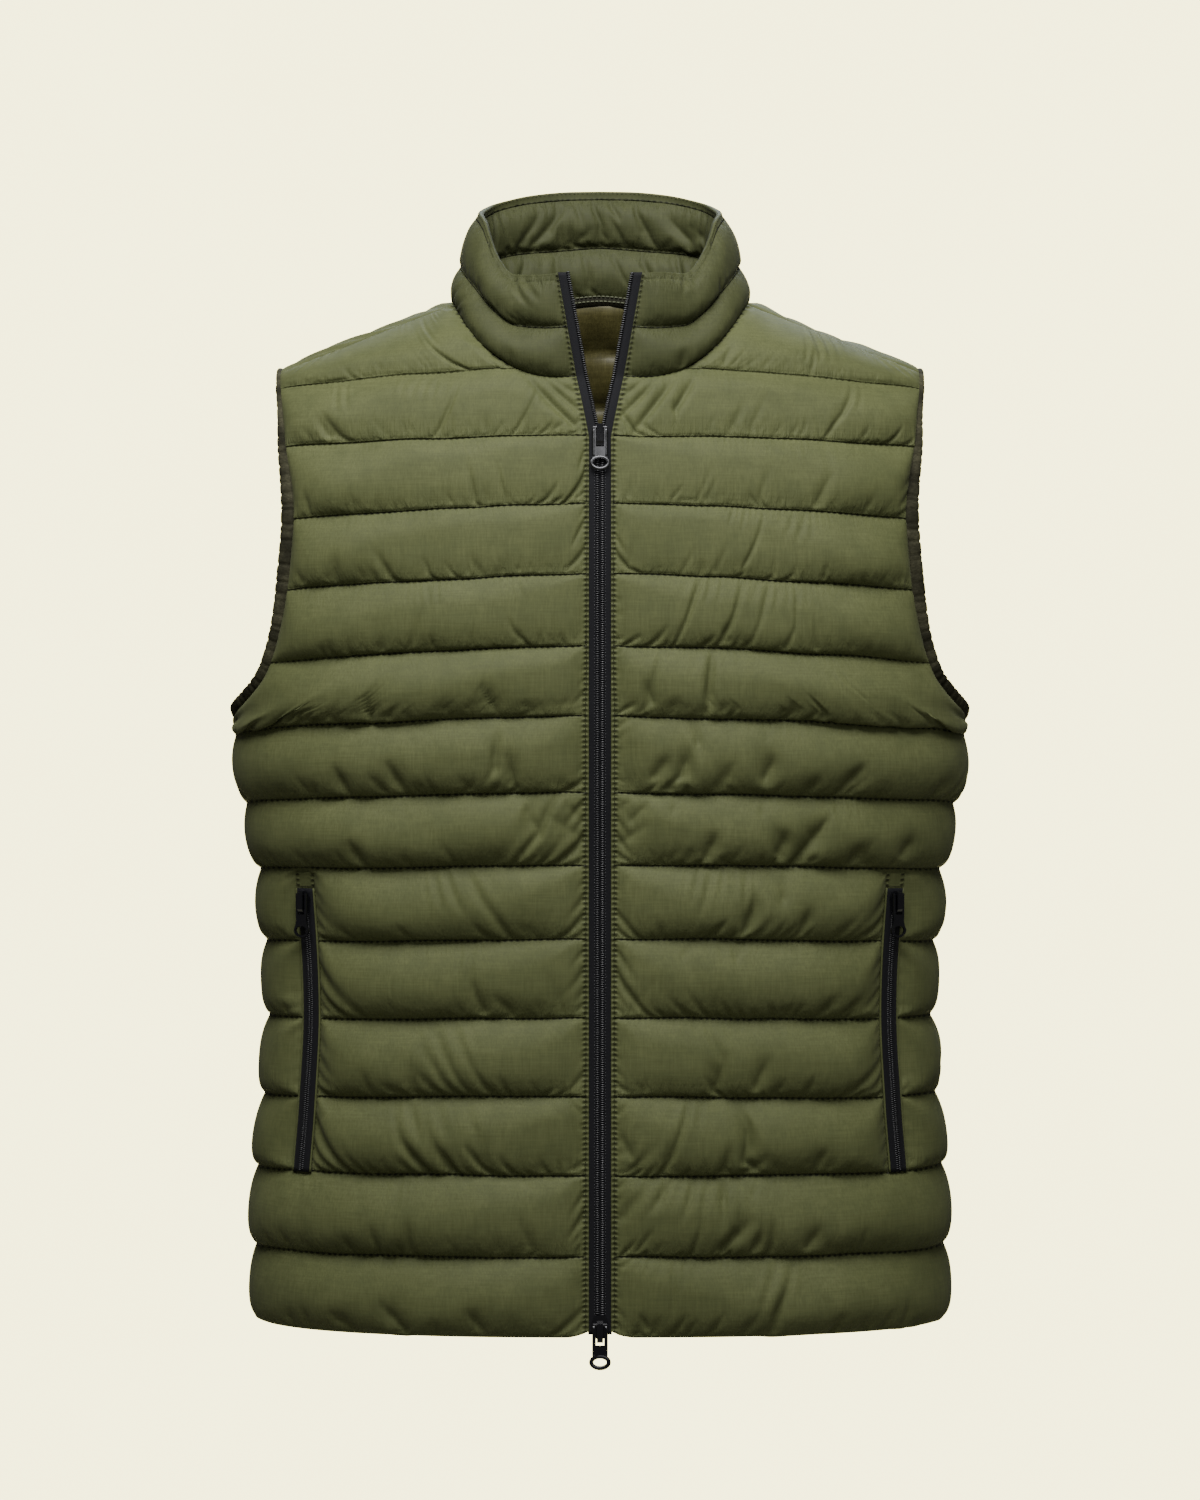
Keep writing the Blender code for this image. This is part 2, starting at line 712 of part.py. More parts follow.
def collar_grids():
    """Outer and inner points of the collar, a list of columns from one front end to the other."""
    half = collar_half_columns()
    outer, inner = [], []
    for c, (seam_out, seam_in, rim) in enumerate(half):
        ahead = half[min(c + 1, len(half) - 1)]
        back = half[max(c - 1, 0)]
        along = ahead[2] - back[2] + ahead[0] - back[0]
        if c == len(half) - 1:
            along = Vector((-1, 0, 0))
        middle = (seam_out + seam_in) / 2
        out = (rim - middle).cross(along).normalized()
        if out.dot(Vector((rim.x, rim.y, 0))) < 0:
            out = -out
        ends = FRONT_COLUMNS[c][1] if c < NECK_COLUMN else 1.0
        column_out, column_in = [], []
        for share, full in COLLAR_ROWS:
            raised = full * ends
            half_wall = out * COLLAR_WALL / 2
            point_out = seam_out.lerp(rim + half_wall, share)
            point_in = seam_in.lerp(rim - half_wall, share)
            column_out.append(point_out + out * COLLAR_PUFF * raised)
            column_in.append(point_in - out * COLLAR_PUFF_INSIDE * raised)
        outer.append(column_out)
        inner.append(column_in)
    outer += [[flipped(p) for p in column] for column in outer[-2::-1]]
    inner += [[flipped(p) for p in column] for column in inner[-2::-1]]
    return outer, inner


def grid_shell(outer, inner):
    """Points and faces of a closed wall between two grids of the same size."""
    columns, rows = len(outer), len(outer[0])
    points = [p for column in outer for p in column] + [p for column in inner for p in column]
    far = columns * rows
    faces = []
    for c in range(columns - 1):
        for r in range(rows - 1):
            face = [c * rows + r, (c + 1) * rows + r, (c + 1) * rows + r + 1, c * rows + r + 1]
            faces += [face, [far + corner for corner in reversed(face)]]
    edge = [(c, 0) for c in range(columns - 1)] + [(columns - 1, r) for r in range(rows - 1)]
    edge += [(c, rows - 1) for c in range(columns - 1, 0, -1)] + [(0, r) for r in range(rows - 1, 0, -1)]
    for (c, r), (d, s) in zip(edge, edge[1:] + edge[:1]):
        a, b = c * rows + r, d * rows + s
        faces.append([a, b, far + b, far + a])
    return points, faces


def neck_tape(outer, inner):
    """A narrow tape on the inside of the collar's seam, round the back of the neck."""
    first = round(len(inner) * NECK_TAPE_ENDS)
    stations = []
    for c in range(first, len(inner) - first):
        low, high = inner[c][0], inner[c][1]
        along = inner[c + 1][0] - inner[c - 1][0]
        inward = (high - low).cross(along).normalized()
        if inward.dot(low - outer[c][0]) < 0:
            inward = -inward
        foot, head = low.lerp(high, NECK_TAPE_LOW), low.lerp(high, NECK_TAPE_HIGH)
        near, far = inward * GAP, inward * (GAP + NECK_TAPE_THICK)
        stations.append([foot + near, head + near, head + far, foot + far])
    return strip(stations, closed=False)


# ---------------------------------------------------------------- bindings and zips
def binding(front, back):
    """The bar round an armhole, against the edges of the front and the back."""
    last_front = len(FRONT_COLUMNS) - 1
    front_edge = edge_stations(front, last_front, False)
    back_edge = edge_stations(back, 2 * len(BACK_COLUMNS) - 2, True)
    loop = front_edge + back_edge[::-1]
    stations = []
    for i, (point, way) in enumerate(loop):
        along = loop[(i + 1) % len(loop)][0] - loop[i - 1][0]
        out = along.cross(way).normalized()
        way = out.cross(along).normalized()
        low, high = -WALL - BINDING_PROUD, BINDING_PROUD
        profile = (
            (GAP, high),
            (BINDING_FULL_AT, high + BINDING_CROWN),
            (BINDING_WIDTH, high - BINDING_CORNER),
            (BINDING_WIDTH, low + BINDING_CORNER),
            (BINDING_FULL_AT, low - BINDING_CROWN),
            (GAP, low),
        )
        stations.append([point + out * a + way * b for a, b in profile])
    return strip(stations, closed=True)


def edge_stations(sheet, column, behind):
    """Points and ways out along an armhole's edge of a panel, from the underarm to the shoulder."""
    found = []
    for row, first, carried in zip(sheet.rows, sheet.first_column, sheet.carried):
        point, way, _ = row[column - first]
        if carried and point.z > UNDERARM - GAP:
            found.append((point.copy(), way))
    if behind:
        return found[1:-1]
    found[0][0].y = 0.0
    return found


def tape_stations(front, outer, inner):
    """Rings of a zip tape, from the hem to the collar's rim."""
    stations = []
    rows = [r for r in range(len(front.rows)) if front.first_column[r] == 0]
    edge = [front.rows[r][0][0].copy() for r in rows if front.carried[r]]
    edge[0].z = QUILTING[0][1] + TAPE_END
    bottom = [Vector((ZIP_HALF, edge[0].y, z)) for z in (TAPE_PARTS_BELOW, TAPE_STRAIGHT_TO)]
    opening = on_surface(ZIP_HALF, ZIP_OPEN_ABOVE, False)
    edge = edge[:1] + bottom + edge[1:]
    after = next(i for i, p in enumerate(edge) if p.z > ZIP_OPEN_ABOVE)
    edge.insert(after, opening)
    for row in TAPE_COLLAR_ROWS:
        point = (outer[0][row] + inner[0][row]) / 2
        point.y -= WALL / 2
        edge.append(point)
    for point in edge:
        x_out = point.x - GAP
        x_in = max(x_out - TAPE_SHOWS, GAP / 2)
        if point.z < TAPE_PARTS_BELOW:
            x_in += ZIP_OPEN_SLOPE * (TAPE_PARTS_BELOW - point.z)
        front_y = point.y + TAPE_SUNK
        back_y = front_y + TAPE_THICK
        z = point.z
        stations.append(
            [(x_out, front_y, z), (x_in, front_y, z), (x_in, back_y, z), (x_out, back_y, z)]
        )
    return stations


def pocket_tape():
    """The tape of a pocket zip, lying on the front between two of its columns."""
    stations = []
    for z in np.linspace(POCKET_TOP, POCKET_BOTTOM, POCKET_TAPE_STATIONS).tolist():
        width = half_width(z)
        ring = []
        for lift, shares in ((GAP, POCKET_SHARES), (GAP + POCKET_TAPE_THICK, POCKET_SHARES[::-1])):
            for share in shares:
                point = on_surface(across(share, ZIP_HALF, width, width, False), z, False)
                way = normal_at(point, False)
                ring.append(point + way * lift)
        stations.append(ring)
    return strip(stations, closed=False)


def frame_on_zip(height):
    """Place of a pull's bar on the front zip: out from the tape, z along it."""
    low, high = on_surface(0.0, height - 0.01, False), on_surface(0.0, height + 0.005, False)
    up = (high - low).normalized()
    out = Vector((0, up.z * -1, up.y)).normalized()
    place = on_surface(0.0, height, False) + out * (BAR_TO_TAPE - TAPE_SUNK)
    return frame(place, out, up)


def frame_on_pocket():
    """Place of a pull's bar on the wearer's left pocket zip, upright."""
    share = sum(POCKET_SHARES) / 2
    width = half_width(POCKET_BAR_HEIGHT)
    x = across(share, ZIP_HALF, width, width, False)
    point = on_surface(x, POCKET_BAR_HEIGHT, False)
    out = normal_at(point, False)
    out = Vector((out.x, out.y, 0)).normalized()
    lift = GAP + POCKET_TAPE_THICK + BAR_TO_TAPE + GAP
    return frame(point + out * lift, out, Vector((0, 0, 1)))


def frame(place, out, up):
    """A matrix whose x runs along the pull's bar, y out from the zip and z up along it."""
    along = out.cross(up).normalized()
    turned = Matrix((along, out, up)).transposed().to_4x4()
    return Matrix.Translation(place) @ turned


# ---------------------------------------------------------------- sliders and pulls
def prism(outline, axis, low, high):
    """Points and faces of an outline in the plane across `axis`, drawn from low to high."""
    others = [i for i in range(3) if i != axis]
    points = []
    for level in (low, high):
        for a, b in outline:
            point = [0.0, 0.0, 0.0]
            point[axis], point[others[0]], point[others[1]] = level, a, b
            points.append(point)
    count = len(outline)
    faces = [list(range(count)), list(range(2 * count - 1, count - 1, -1))]
    for c in range(count):
        d = (c + 1) % count
        faces.append([c, count + c, count + d, d])
    return points, faces


def cut_or_join(made, shape, operation, place):
    """Applies a Boolean with a shape that is drawn in the same local frame."""
    tool = add_object("tool", *shape, made.data.materials[0])
    tool.matrix_world = place
    tool.hide_render = True
    tool.display_type = "WIRE"
    boolean = made.modifiers.new(operation, "BOOLEAN")
    boolean.operation = operation
    boolean.object = tool
    return tool


def box_outline(low_a, high_a, low_b, high_b):
    return [(low_a, low_b), (high_a, low_b), (high_a, high_b), (low_a, high_b)]


def plate_outline(half, top, bottom):
    """A slider's plate: broad shoulders at the top and a narrower foot."""
    foot = half * 0.82
    corner = 0.0016
    return [
        (-foot + corner, bottom),
        (foot - corner, bottom),
        (foot, bottom + corner),
        (half, top - 2.5 * corner),
        (half - corner, top - 0.3 * corner),
        (half - 2.2 * corner, top),
        (-half + 2.2 * corner, top),
        (-half + corner, top - 0.3 * corner),
        (-half, top - 2.5 * corner),
        (-foot, bottom + corner),
    ]


def slider(name, place, plate, finish, has_back):
    """A slider's plate, its bridge over the pull's bar, and on the front zip a post and back plate."""
    plate_front = -(BAR_RADIUS + BAR_PLAY)
    plate_back = plate_front - PLATE_THICK
    made = add_object(
        name, *prism(plate_outline(PLATE_HALF, *plate), 1, plate_back, plate_front), finish
    )
    made.matrix_world = place
    inside, top_of_bridge = BAR_RADIUS + BAR_PLAY, BAR_RADIUS + BAR_PLAY + BRIDGE_THICK
    side = [
        (plate_back, BRIDGE_TOP),
        (inside, BRIDGE_TOP),
        (top_of_bridge, BRIDGE_TOP - 0.0012),
        (top_of_bridge, BRIDGE_BOTTOM + 0.0014),
        (inside, BRIDGE_BOTTOM),
        (plate_back, BRIDGE_BOTTOM),
    ]
    cut_or_join(made, prism(side, 0, -BRIDGE_HALF, BRIDGE_HALF), "UNION", place)
    eye = box_outline(
        plate_front, inside, BRIDGE_BOTTOM + BRIDGE_FOOT, BRIDGE_TOP - BRIDGE_FOOT
    )
    cut_or_join(made, prism(eye, 0, -2 * BRIDGE_HALF, 2 * BRIDGE_HALF), "DIFFERENCE", place)
    if has_back:
        tape_back = plate_back - GAP - TAPE_THICK
        low = tape_back - GAP - BACK_PLATE_THICK
        post_top = post_height(plate)
        post = box_outline(-POST_HALF, POST_HALF, post_top - POST_LENGTH, post_top)
        cut_or_join(made, prism(post, 1, low + GAP, plate_front - GAP), "UNION", place)
        outline = plate_outline(BACK_PLATE_HALF, plate[0] - GAP, plate[1] + GAP)
        cut_or_join(made, prism(outline, 1, low, low + BACK_PLATE_THICK), "UNION", place)
    return made


def post_height(plate):
    """Top of the post between the tapes: near the end of the slider where they part."""
    return POST_TOP if plate == TOP_PLATE else plate[1] + POST_LENGTH + 0.0003


def ellipse(half, high, centre, count):
    turns = [2 * math.pi * i / count for i in range(count)]
    return [(half * math.cos(t), centre + high * math.sin(t)) for t in turns]


def pull(name, place, finish):
    """The tab: two side bars and a round bar in the bridge, a flat neck and a ring below."""
    flare = 20
    ring = ellipse(RING_HALF, RING_HIGH, RING_CENTRE, flare)
    lower = [p for p in ring if p[1] < RING_CENTRE + RING_HIGH * 0.6]
    right = sorted((p for p in lower if p[0] > 1e-6), key=lambda p: -p[1])
    left = sorted((p for p in lower if p[0] < -1e-6), key=lambda p: p[1])
    middle = [p for p in lower if abs(p[0]) <= 1e-6]
    neck_half = PULL_HALF * 0.93
    outline = [
        (PULL_SLOT_HALF, -BAR_RADIUS * 0.2),
        (PULL_HALF, -BAR_RADIUS * 0.2),
        (PULL_HALF, PULL_SLOT_BOTTOM),
        (neck_half, PULL_NECK + 0.002),
        *right,
        *middle,
        *left,
        (-neck_half, PULL_NECK + 0.002),
        (-PULL_HALF, PULL_SLOT_BOTTOM),
        (-PULL_HALF, -BAR_RADIUS * 0.2),
        (-PULL_SLOT_HALF, -BAR_RADIUS * 0.2),
        (-PULL_SLOT_HALF, PULL_SLOT_BOTTOM),
        (PULL_SLOT_HALF, PULL_SLOT_BOTTOM),
    ]
    made = add_object(name, *prism(outline, 1, -PULL_THICK / 2, PULL_THICK / 2), finish)
    made.matrix_world = place
    hole = ellipse(RING_HOLE_HALF, RING_HOLE_HIGH, RING_CENTRE - 0.0002, flare)
    cut_or_join(made, prism(hole, 1, -PULL_THICK, PULL_THICK), "DIFFERENCE", place)
    bar = ellipse(BAR_RADIUS, BAR_RADIUS, 0.0, 8)
    cut_or_join(made, prism(bar, 0, -PULL_HALF, PULL_HALF), "UNION", place)
    return made


# ---------------------------------------------------------------- the vest
def main():
    for old in list(bpy.data.objects):
        bpy.data.objects.remove(old)
    olive = material("olive_shell", OLIVE, 0.5)
    lining = material("neck_tape", LINING_OLIVE, 0.6)
    dark = material("armhole_binding", BINDING_BROWN, 0.7)
    black = material("zip_tape", ZIP_BLACK, 0.75)
    steel = material("pull_metal", GUNMETAL, 0.3, 1.0)
    painted = material("slider_black", SLIDER_BLACK, 0.35, 0.6)

    front, back = front_sheet(), back_sheet()
    outer, inner = collar_grids()
    add_object("back", *wall_between(back), olive)
    add_object("collar", *grid_shell(outer, inner), olive)
    add_object("neck_tape", *neck_tape(outer, inner), lining)
    pocket = frame_on_pocket()
    across_x = Matrix.Scale(-1, 4, Vector((1, 0, 0)))
    for side, mirror in (("left", False), ("right", True)):
        add_object(f"front_{side}", *wall_between(front), olive, mirror)
        add_object(f"armhole_binding_{side}", *binding(front, back), dark, mirror)
        tape = strip(tape_stations(front, outer, inner), closed=False)
        add_object(f"zip_tape_{side}", *tape, black, mirror)
        add_object(f"pocket_zip_{side}", *pocket_tape(), black, mirror)
        place = across_x @ pocket @ across_x if mirror else pocket
        slider(f"pocket_slider_{side}", place, TOP_PLATE, painted, False)
        pull(f"pocket_pull_{side}", place, painted)
    for level, height, plate, finish in (
        ("top", TOP_BAR_HEIGHT, TOP_PLATE, steel),
        ("bottom", BOTTOM_BAR_HEIGHT, BOTTOM_PLATE, painted),
    ):
        place = frame_on_zip(height)
        slider(f"zip_slider_{level}", place, plate, painted, True)
        pull(f"zip_pull_{level}", place, finish)


main()
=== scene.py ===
"""Looks of the quilted puffer vest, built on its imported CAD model."""

import math

import bmesh
import bpy
import numpy as np
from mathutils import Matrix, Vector


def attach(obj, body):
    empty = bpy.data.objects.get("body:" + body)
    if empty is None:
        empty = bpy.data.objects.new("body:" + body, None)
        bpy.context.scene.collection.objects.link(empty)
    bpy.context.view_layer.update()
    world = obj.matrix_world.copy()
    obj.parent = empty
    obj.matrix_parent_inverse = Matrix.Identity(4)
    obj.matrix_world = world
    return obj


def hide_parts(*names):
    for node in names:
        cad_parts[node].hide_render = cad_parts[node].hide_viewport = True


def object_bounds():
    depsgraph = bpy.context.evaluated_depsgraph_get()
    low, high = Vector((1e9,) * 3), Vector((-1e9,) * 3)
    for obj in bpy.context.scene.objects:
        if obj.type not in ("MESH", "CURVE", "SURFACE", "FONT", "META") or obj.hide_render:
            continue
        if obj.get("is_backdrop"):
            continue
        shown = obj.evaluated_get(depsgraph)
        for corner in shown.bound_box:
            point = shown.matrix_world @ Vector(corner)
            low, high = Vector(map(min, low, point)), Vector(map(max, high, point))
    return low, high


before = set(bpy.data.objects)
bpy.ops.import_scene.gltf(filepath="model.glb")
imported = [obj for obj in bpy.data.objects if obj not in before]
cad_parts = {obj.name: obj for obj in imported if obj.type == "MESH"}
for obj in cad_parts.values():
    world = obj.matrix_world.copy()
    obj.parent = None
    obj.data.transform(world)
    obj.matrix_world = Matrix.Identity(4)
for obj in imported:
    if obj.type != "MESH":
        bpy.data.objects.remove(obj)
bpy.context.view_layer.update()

# ---------------------------------------------------------------- sizes, as in the CAD source
GAP = 0.0003
WALL = 0.003
PUFF = 0.0080
SHOULDER_FULL = 0.5
BODY_SECTIONS = (
    # height, half width, depth in front, depth behind
    (-0.6900, 0.2320, 0.1040, 0.0920),
    (-0.6060, 0.2330, 0.1030, 0.0920),
    (-0.5350, 0.2275, 0.1010, 0.0880),
    (-0.4740, 0.2240, 0.1000, 0.0850),
    (-0.3820, 0.2300, 0.1010, 0.0880),
    (-0.3310, 0.2405, 0.1030, 0.0940),
    (-0.2790, 0.2487, 0.1050, 0.1000),
)
UNDERARM = BODY_SECTIONS[-1][0]
SQUARE_FRONT, SQUARE_BACK = 2.4, 2.7
RIDGE_HEIGHT, SHOULDER_SLOPE, RIDGE_SOFT = 0.0440, 0.393, 0.02
SEAM_TURN = math.radians(79.0)
ARMHOLE = (
    # height, half width at the front edge, at the back edge
    (-0.2790, 0.2487, 0.2487),
    (-0.2749, 0.2455, 0.2465),
    (-0.2703, 0.2398, 0.2425),
    (-0.2608, 0.2300, 0.2355),
    (-0.2500, 0.2220, 0.2285),
    (-0.2300, 0.2145, 0.2205),
    (-0.2000, 0.2080, 0.2130),
    (-0.1700, 0.2045, 0.2110),
    (-0.1427, 0.2030, 0.2115),
    (-0.0902, 0.2110, 0.2150),
    (-0.0487, 0.2165, 0.2165),
)
SHOULDER_TIP = ARMHOLE[-1][1]
QUILTING = (
    # height at the zip, drop at the side, from the hem up
    (-0.6822, 0.001),
    (-0.6302, 0.003),
    (-0.5776, 0.002),
    (-0.5262, 0.005),
    (-0.4749, 0.004),
    (-0.4235, 0.005),
    (-0.3754, 0.005),
    (-0.3280, 0.008),
    (-0.2779, 0.012),
    (-0.2324, 0.010),
    (-0.1856, 0.009),
    (-0.1394, 0.008),
    (-0.0946, 0.004),
)
TOP_LINE_AT_ARMHOLE = -0.0576
NECK_HALF, NECK_FRONT, NECK_BACK = 0.100, 0.0820, 0.060
NECK_SQUARE_FRONT, NECK_SQUARE_BACK = 2.75, 2.2
NECK_RISE, NECK_RISE_FROM, NECK_RISE_FULL = 0.0115, math.radians(100), math.radians(150)
TOP_LINE_NECK_TURN = math.radians(26.0)
SHOULDER_NECK_TURN = math.radians(78.0)
FRONT_FULL = (
    # share of the front's width, fullness
    (0.000, 0.00),
    (0.035, 0.48),
    (0.090, 0.70),
    (0.165, 0.82),
    (0.300, 0.92),
    (0.420, 1.00),
    (0.578, 0.90),
    (0.648, 0.90),
    (0.730, 0.95),
    (0.810, 1.00),
    (0.890, 0.85),
    (0.960, 0.50),
    (1.000, 0.20),
)
BACK_FULL = ((0.00, 1.00), (0.79, 1.00), (0.89, 0.85), (0.96, 0.50), (1.00, 0.20))
NECK_SHARE, BACK_NECK_SHARE = 0.165, 0.45
POCKET_SHARES = (0.5815, 0.6445)
POCKET_TOP, POCKET_BOTTOM = -0.3915, -0.5790
COLLAR_RIM = (
    # turn in degrees, x, y, z
    (0.0, 0.0000, -0.0800, 0.0143),
    (18.5, 0.0277, -0.0775, 0.0143),
    (37.0, 0.0550, -0.0600, 0.0150),
    (50.0, 0.0700, -0.0450, 0.0340),
    (65.0, 0.0770, -0.0260, 0.0560),
    (80.0, 0.0805, -0.0080, 0.0640),
    (100.0, 0.0810, 0.0120, 0.0680),
    (125.0, 0.0745, 0.0360, 0.0765),
    (150.0, 0.0490, 0.0540, 0.0860),
    (168.0, 0.0200, 0.0612, 0.0897),
    (180.0, 0.0000, 0.0620, 0.0901),
)
COLLAR_RIM_FIRST_TURN, COLLAR_FIRST_X = 18.5, 0.0155
COLLAR_WALL, COLLAR_PUFF, COLLAR_PUFF_INSIDE = 0.0036, 0.0066, 0.0050
COLLAR_FULL = (
    # share of the height, fullness where the rim is stitched flat, where it is rolled
    (0.000, 0.00, 0.00),
    (0.075, 0.50, 0.55),
    (0.240, 1.00, 1.00),
    (0.410, 0.70, 0.70),
    (0.490, 0.00, 0.00),
    (0.565, 0.70, 0.65),
    (0.710, 1.00, 0.90),
    (0.860, 0.70, 0.84),
    (0.930, 0.00, 0.72),
    (0.975, 0.00, 0.48),
    (1.000, 0.00, 0.00),
)
COLLAR_LINE = (
    # turn in degrees, share of the height where the collar's middle seam lies
    (0.0, 0.485),
    (37.0, 0.465),
    (50.0, 0.420),
    (65.0, 0.385),
    (90.0, 0.370),
    (120.0, 0.420),
    (150.0, 0.470),
    (180.0, 0.480),
)
COLLAR_SIDE = (
    # turn in degrees, fullness, how far its middle stands out
    (0.0, 1.00, 0.0000),
    (50.0, 0.95, 0.0000),
    (75.0, 0.42, 0.0014),
    (110.0, 0.42, 0.0014),
    (140.0, 0.85, 0.0005),
    (180.0, 1.00, 0.0000),
)
RIM_ROLLED_TO, RIM_FLAT_FROM = 52.0, 66.0
ZIP_HALF = 0.0072
ZIP_OPEN_ABOVE, ZIP_OPEN_SLOPE = -0.0935, 0.225
HEM_CORNER = 0.004
TAPE_SHOWS, TAPE_SUNK = 0.0067, 0.0005
TAPE_END, TAPE_PARTS_BELOW = 0.002, -0.6765
TOP_TEETH_END, BOTTOM_TEETH_END, COIL_PITCH = -0.0935, -0.6720, 0.00145
BINDING_STEP, BINDING_SOFTENED, BINDING_AROUND = 0.0011, 6, 14
BINDING_GATHERS_APART = 0.0068
BINDING_HALF_WIDTH, BINDING_HALF_THICK, BINDING_OUT = 0.0046, 0.0030, 0.0031

# ---------------------------------------------------------------- sizes of the cloth itself
FRONT_CELL, BACK_CELL, COLLAR_CELL = 0.0014, 0.0025, 0.0016  # width of a shell's cells
ROWS = 28  # rows of cells in a channel
INSIDE = 4  # one cell of the lining for so many of the shell
COLLAR_SEAMS = (0.0, 0.490, 0.930)
COLLAR_ROW_COUNTS = (26, 24, 4)
GATHER = 0.024  # how much longer the shell is than the seams it is sewn to
ARC = 0.9  # how much of the blown-up form's own length the shell has
LEAN = 0.10  # how far the shell's threads lean where it was sewn on askew
CAP, LUMPS = 1.4, 0.12
SCALLOP = 0.00045
PUCKER, PUCKER_REACH = 0.00050, 0.0050
ROUNDS, PUSH, SAG, DAMPING, BEND, SMOOTH = 600, 0.000007, 0.000006, 0.85, 0.25, 0.03
STITCH, ZIP_STITCH_PITCH = 0.0040, 0.0034
ZIP_STITCH = 0.0020  # from the folded edge to the stitches beside the zip
ZIP_STITCH_COLUMN, COLLAR_STITCH_COLUMN = 2, 1
WELT_SHARE, WELT_TOP = 0.006, -0.3812
WELT_LINE = WELT_SHARE * 0.6  # from the pocket's edge to the stitches of its welt
SEAM_WANDER = 0.0008
SHOULDER_OVERLAP, SIDE_OVERLAP = 0.0002, 0.0001  # how far the panels reach into each other
WAIST = -0.45  # here a panel's columns lie evenly apart
LEAN_DOWN = 0.96  # below 1 the channels are fullest below their middles
CREASE = 0.55
PRESSED = 0.0011  # how far the known creases are pressed in after settling
CHANNEL_FULL = (1, 1, 1, 1, 1, 1, 1, 0.97, 0.95, 0.90, 0.84, 0.78, 0.72, 1)
CHEST_FLAT = 0.50  # how much flatter the chest is beside the zip
CHEST_FROM, CHEST_TO = 8.0, 12.4  # in channels from the hem
SHOULDER_CALM_FROM, SHOULDER_CALM = 12.6, 0.75  # how much smoother the cloth is from there up
TIP_SHARE, TIP_HEIGHT, TIP_REACH, TIP_FLAT = 0.84, -0.281, 0.011, 0.8  # flat under the armhole
ARM_SHARE, ARM_HEIGHT, ARM_REACH, ARM_CALM = 0.62, -0.255, 0.03, 0.85  # smooth beside it
# widths of the painted shade along a quilting line, above and below it, and how far the fine puckers beside
# it reach
PAINTED_SHADE_ABOVE_SEAM, PAINTED_SHADE_BELOW_SEAM, CREPE_REACH = 0.0010, 0.0006, 0.007
FRONT_WIDTH = 0.262  # about the length of a share of 1
VIEW_AWAY, VEST_FRONT, VIEW_HEIGHT = 2.2, 0.105, -0.30  # camera to the vest's front, at its middle
VIEW_UNIT, VIEW_TALL = 0.00065, 0.975
SIDES = ("left", "right")

# how far apart the swells, gathers, puckers, small folds and leans of the cloth lie
CHANNEL_HIGH = 0.050
LUMPS_APART, GATHERS_APART, PUCKERS_APART = 0.035, 0.030, 0.0048
FOLDS_APART, LEANS_APART, RIPPLES_APART, WANDER_APART = 0.014, 0.022, 0.014, 0.026
CREASES_APART = (0.045, 0.009)  # the long and the short ones
LEFT_CREASES = (
    # from u, v to u, v, width, depth: as the camera sees them, v down, in VIEW_UNIT from VIEW_HEIGHT
    (108, -50, 105, -34, 2.5, 0.5), (99, -25, 97, -10, 2.5, 0.5), (88, -3, 79, 24, 5, 0.6),
    (68, 4, 55, 24, 6, 0.45), (87, 33, 85, 43, 2, 0.4), (165, -23, 165, -11, 2, 0.4),
    (173, 4, 164, 26, 4, 0.55), (133, 10, 117, 37, 8, 0.35), (256, 15, 238, 40, 4.5, 0.55),
    (213, 30, 206, 40, 4, 0.4), (55, 46, 32, 70, 3, 0.45), (35, 46, 17, 62, 3, 0.35),
    (81, 46, 73, 59, 2.5, 0.35), (46, 75, 19, 94, 3.5, 0.4), (164, 46, 161, 62, 2.5, 0.4),
    (115, 82, 106, 104, 4, 0.5), (185, 79, 177, 102, 5, 0.55), (231, 57, 191, 115, 6, 0.7),
    (258, 93, 247, 113, 5, 0.5), (307, 84, 298, 102, 5, 0.5), (186, 117, 180, 146, 5, 0.3),
    (153, 149, 144, 175, 4, 0.55), (204, 160, 198, 180, 4, 0.35), (276, 173, 260, 184, 4, 0.4),
    (95, 189, 84, 204, 3.5, 0.4), (144, 191, 135, 207, 3.5, 0.4), (224, 251, 220, 262, 3, 0.4),
    (253, 247, 244, 260, 3, 0.45), (165, 308, 155, 334, 5, 0.35), (273, 317, 249, 341, 3, 0.45),
    (16, 376, 32, 407, 2, 0.5), (148, 352, 144, 411, 4, 0.55), (164, 407, 141, 423, 5, 0.5),
    (221, 397, 214, 419, 4, 0.45), (70, 397, 65, 423, 6, 0.4), (68, 433, 58, 449, 3, 0.45),
    (49, 433, 23, 466, 6, 0.35), (131, 430, 122, 447, 3.5, 0.45), (157, 430, 153, 442, 3, 0.4),
    (146, 470, 122, 496, 6, 0.45), (160, 482, 153, 496, 3.5, 0.4), (216, 475, 205, 494, 3.5, 0.4),
    (179, 541, 172, 577, 6, 0.4), (42, 565, 47, 577, 3, 0.4), (55, -369, 22, -335, 2.6, 1.0),
    (44, -370, 18, -350, 2.2, 0.8), (82, -382, 34, -318, 4, 0.8), (99, -380, 76, -340, 3, 0.7),
    (124, -123, 122, -110, 3, 0.4),
    (46, -67, 52, -50, 3, 0.5), (110, -67, 108, -50, 3, 0.5), (130, -407, 122, -386, 3, 0.4),
)
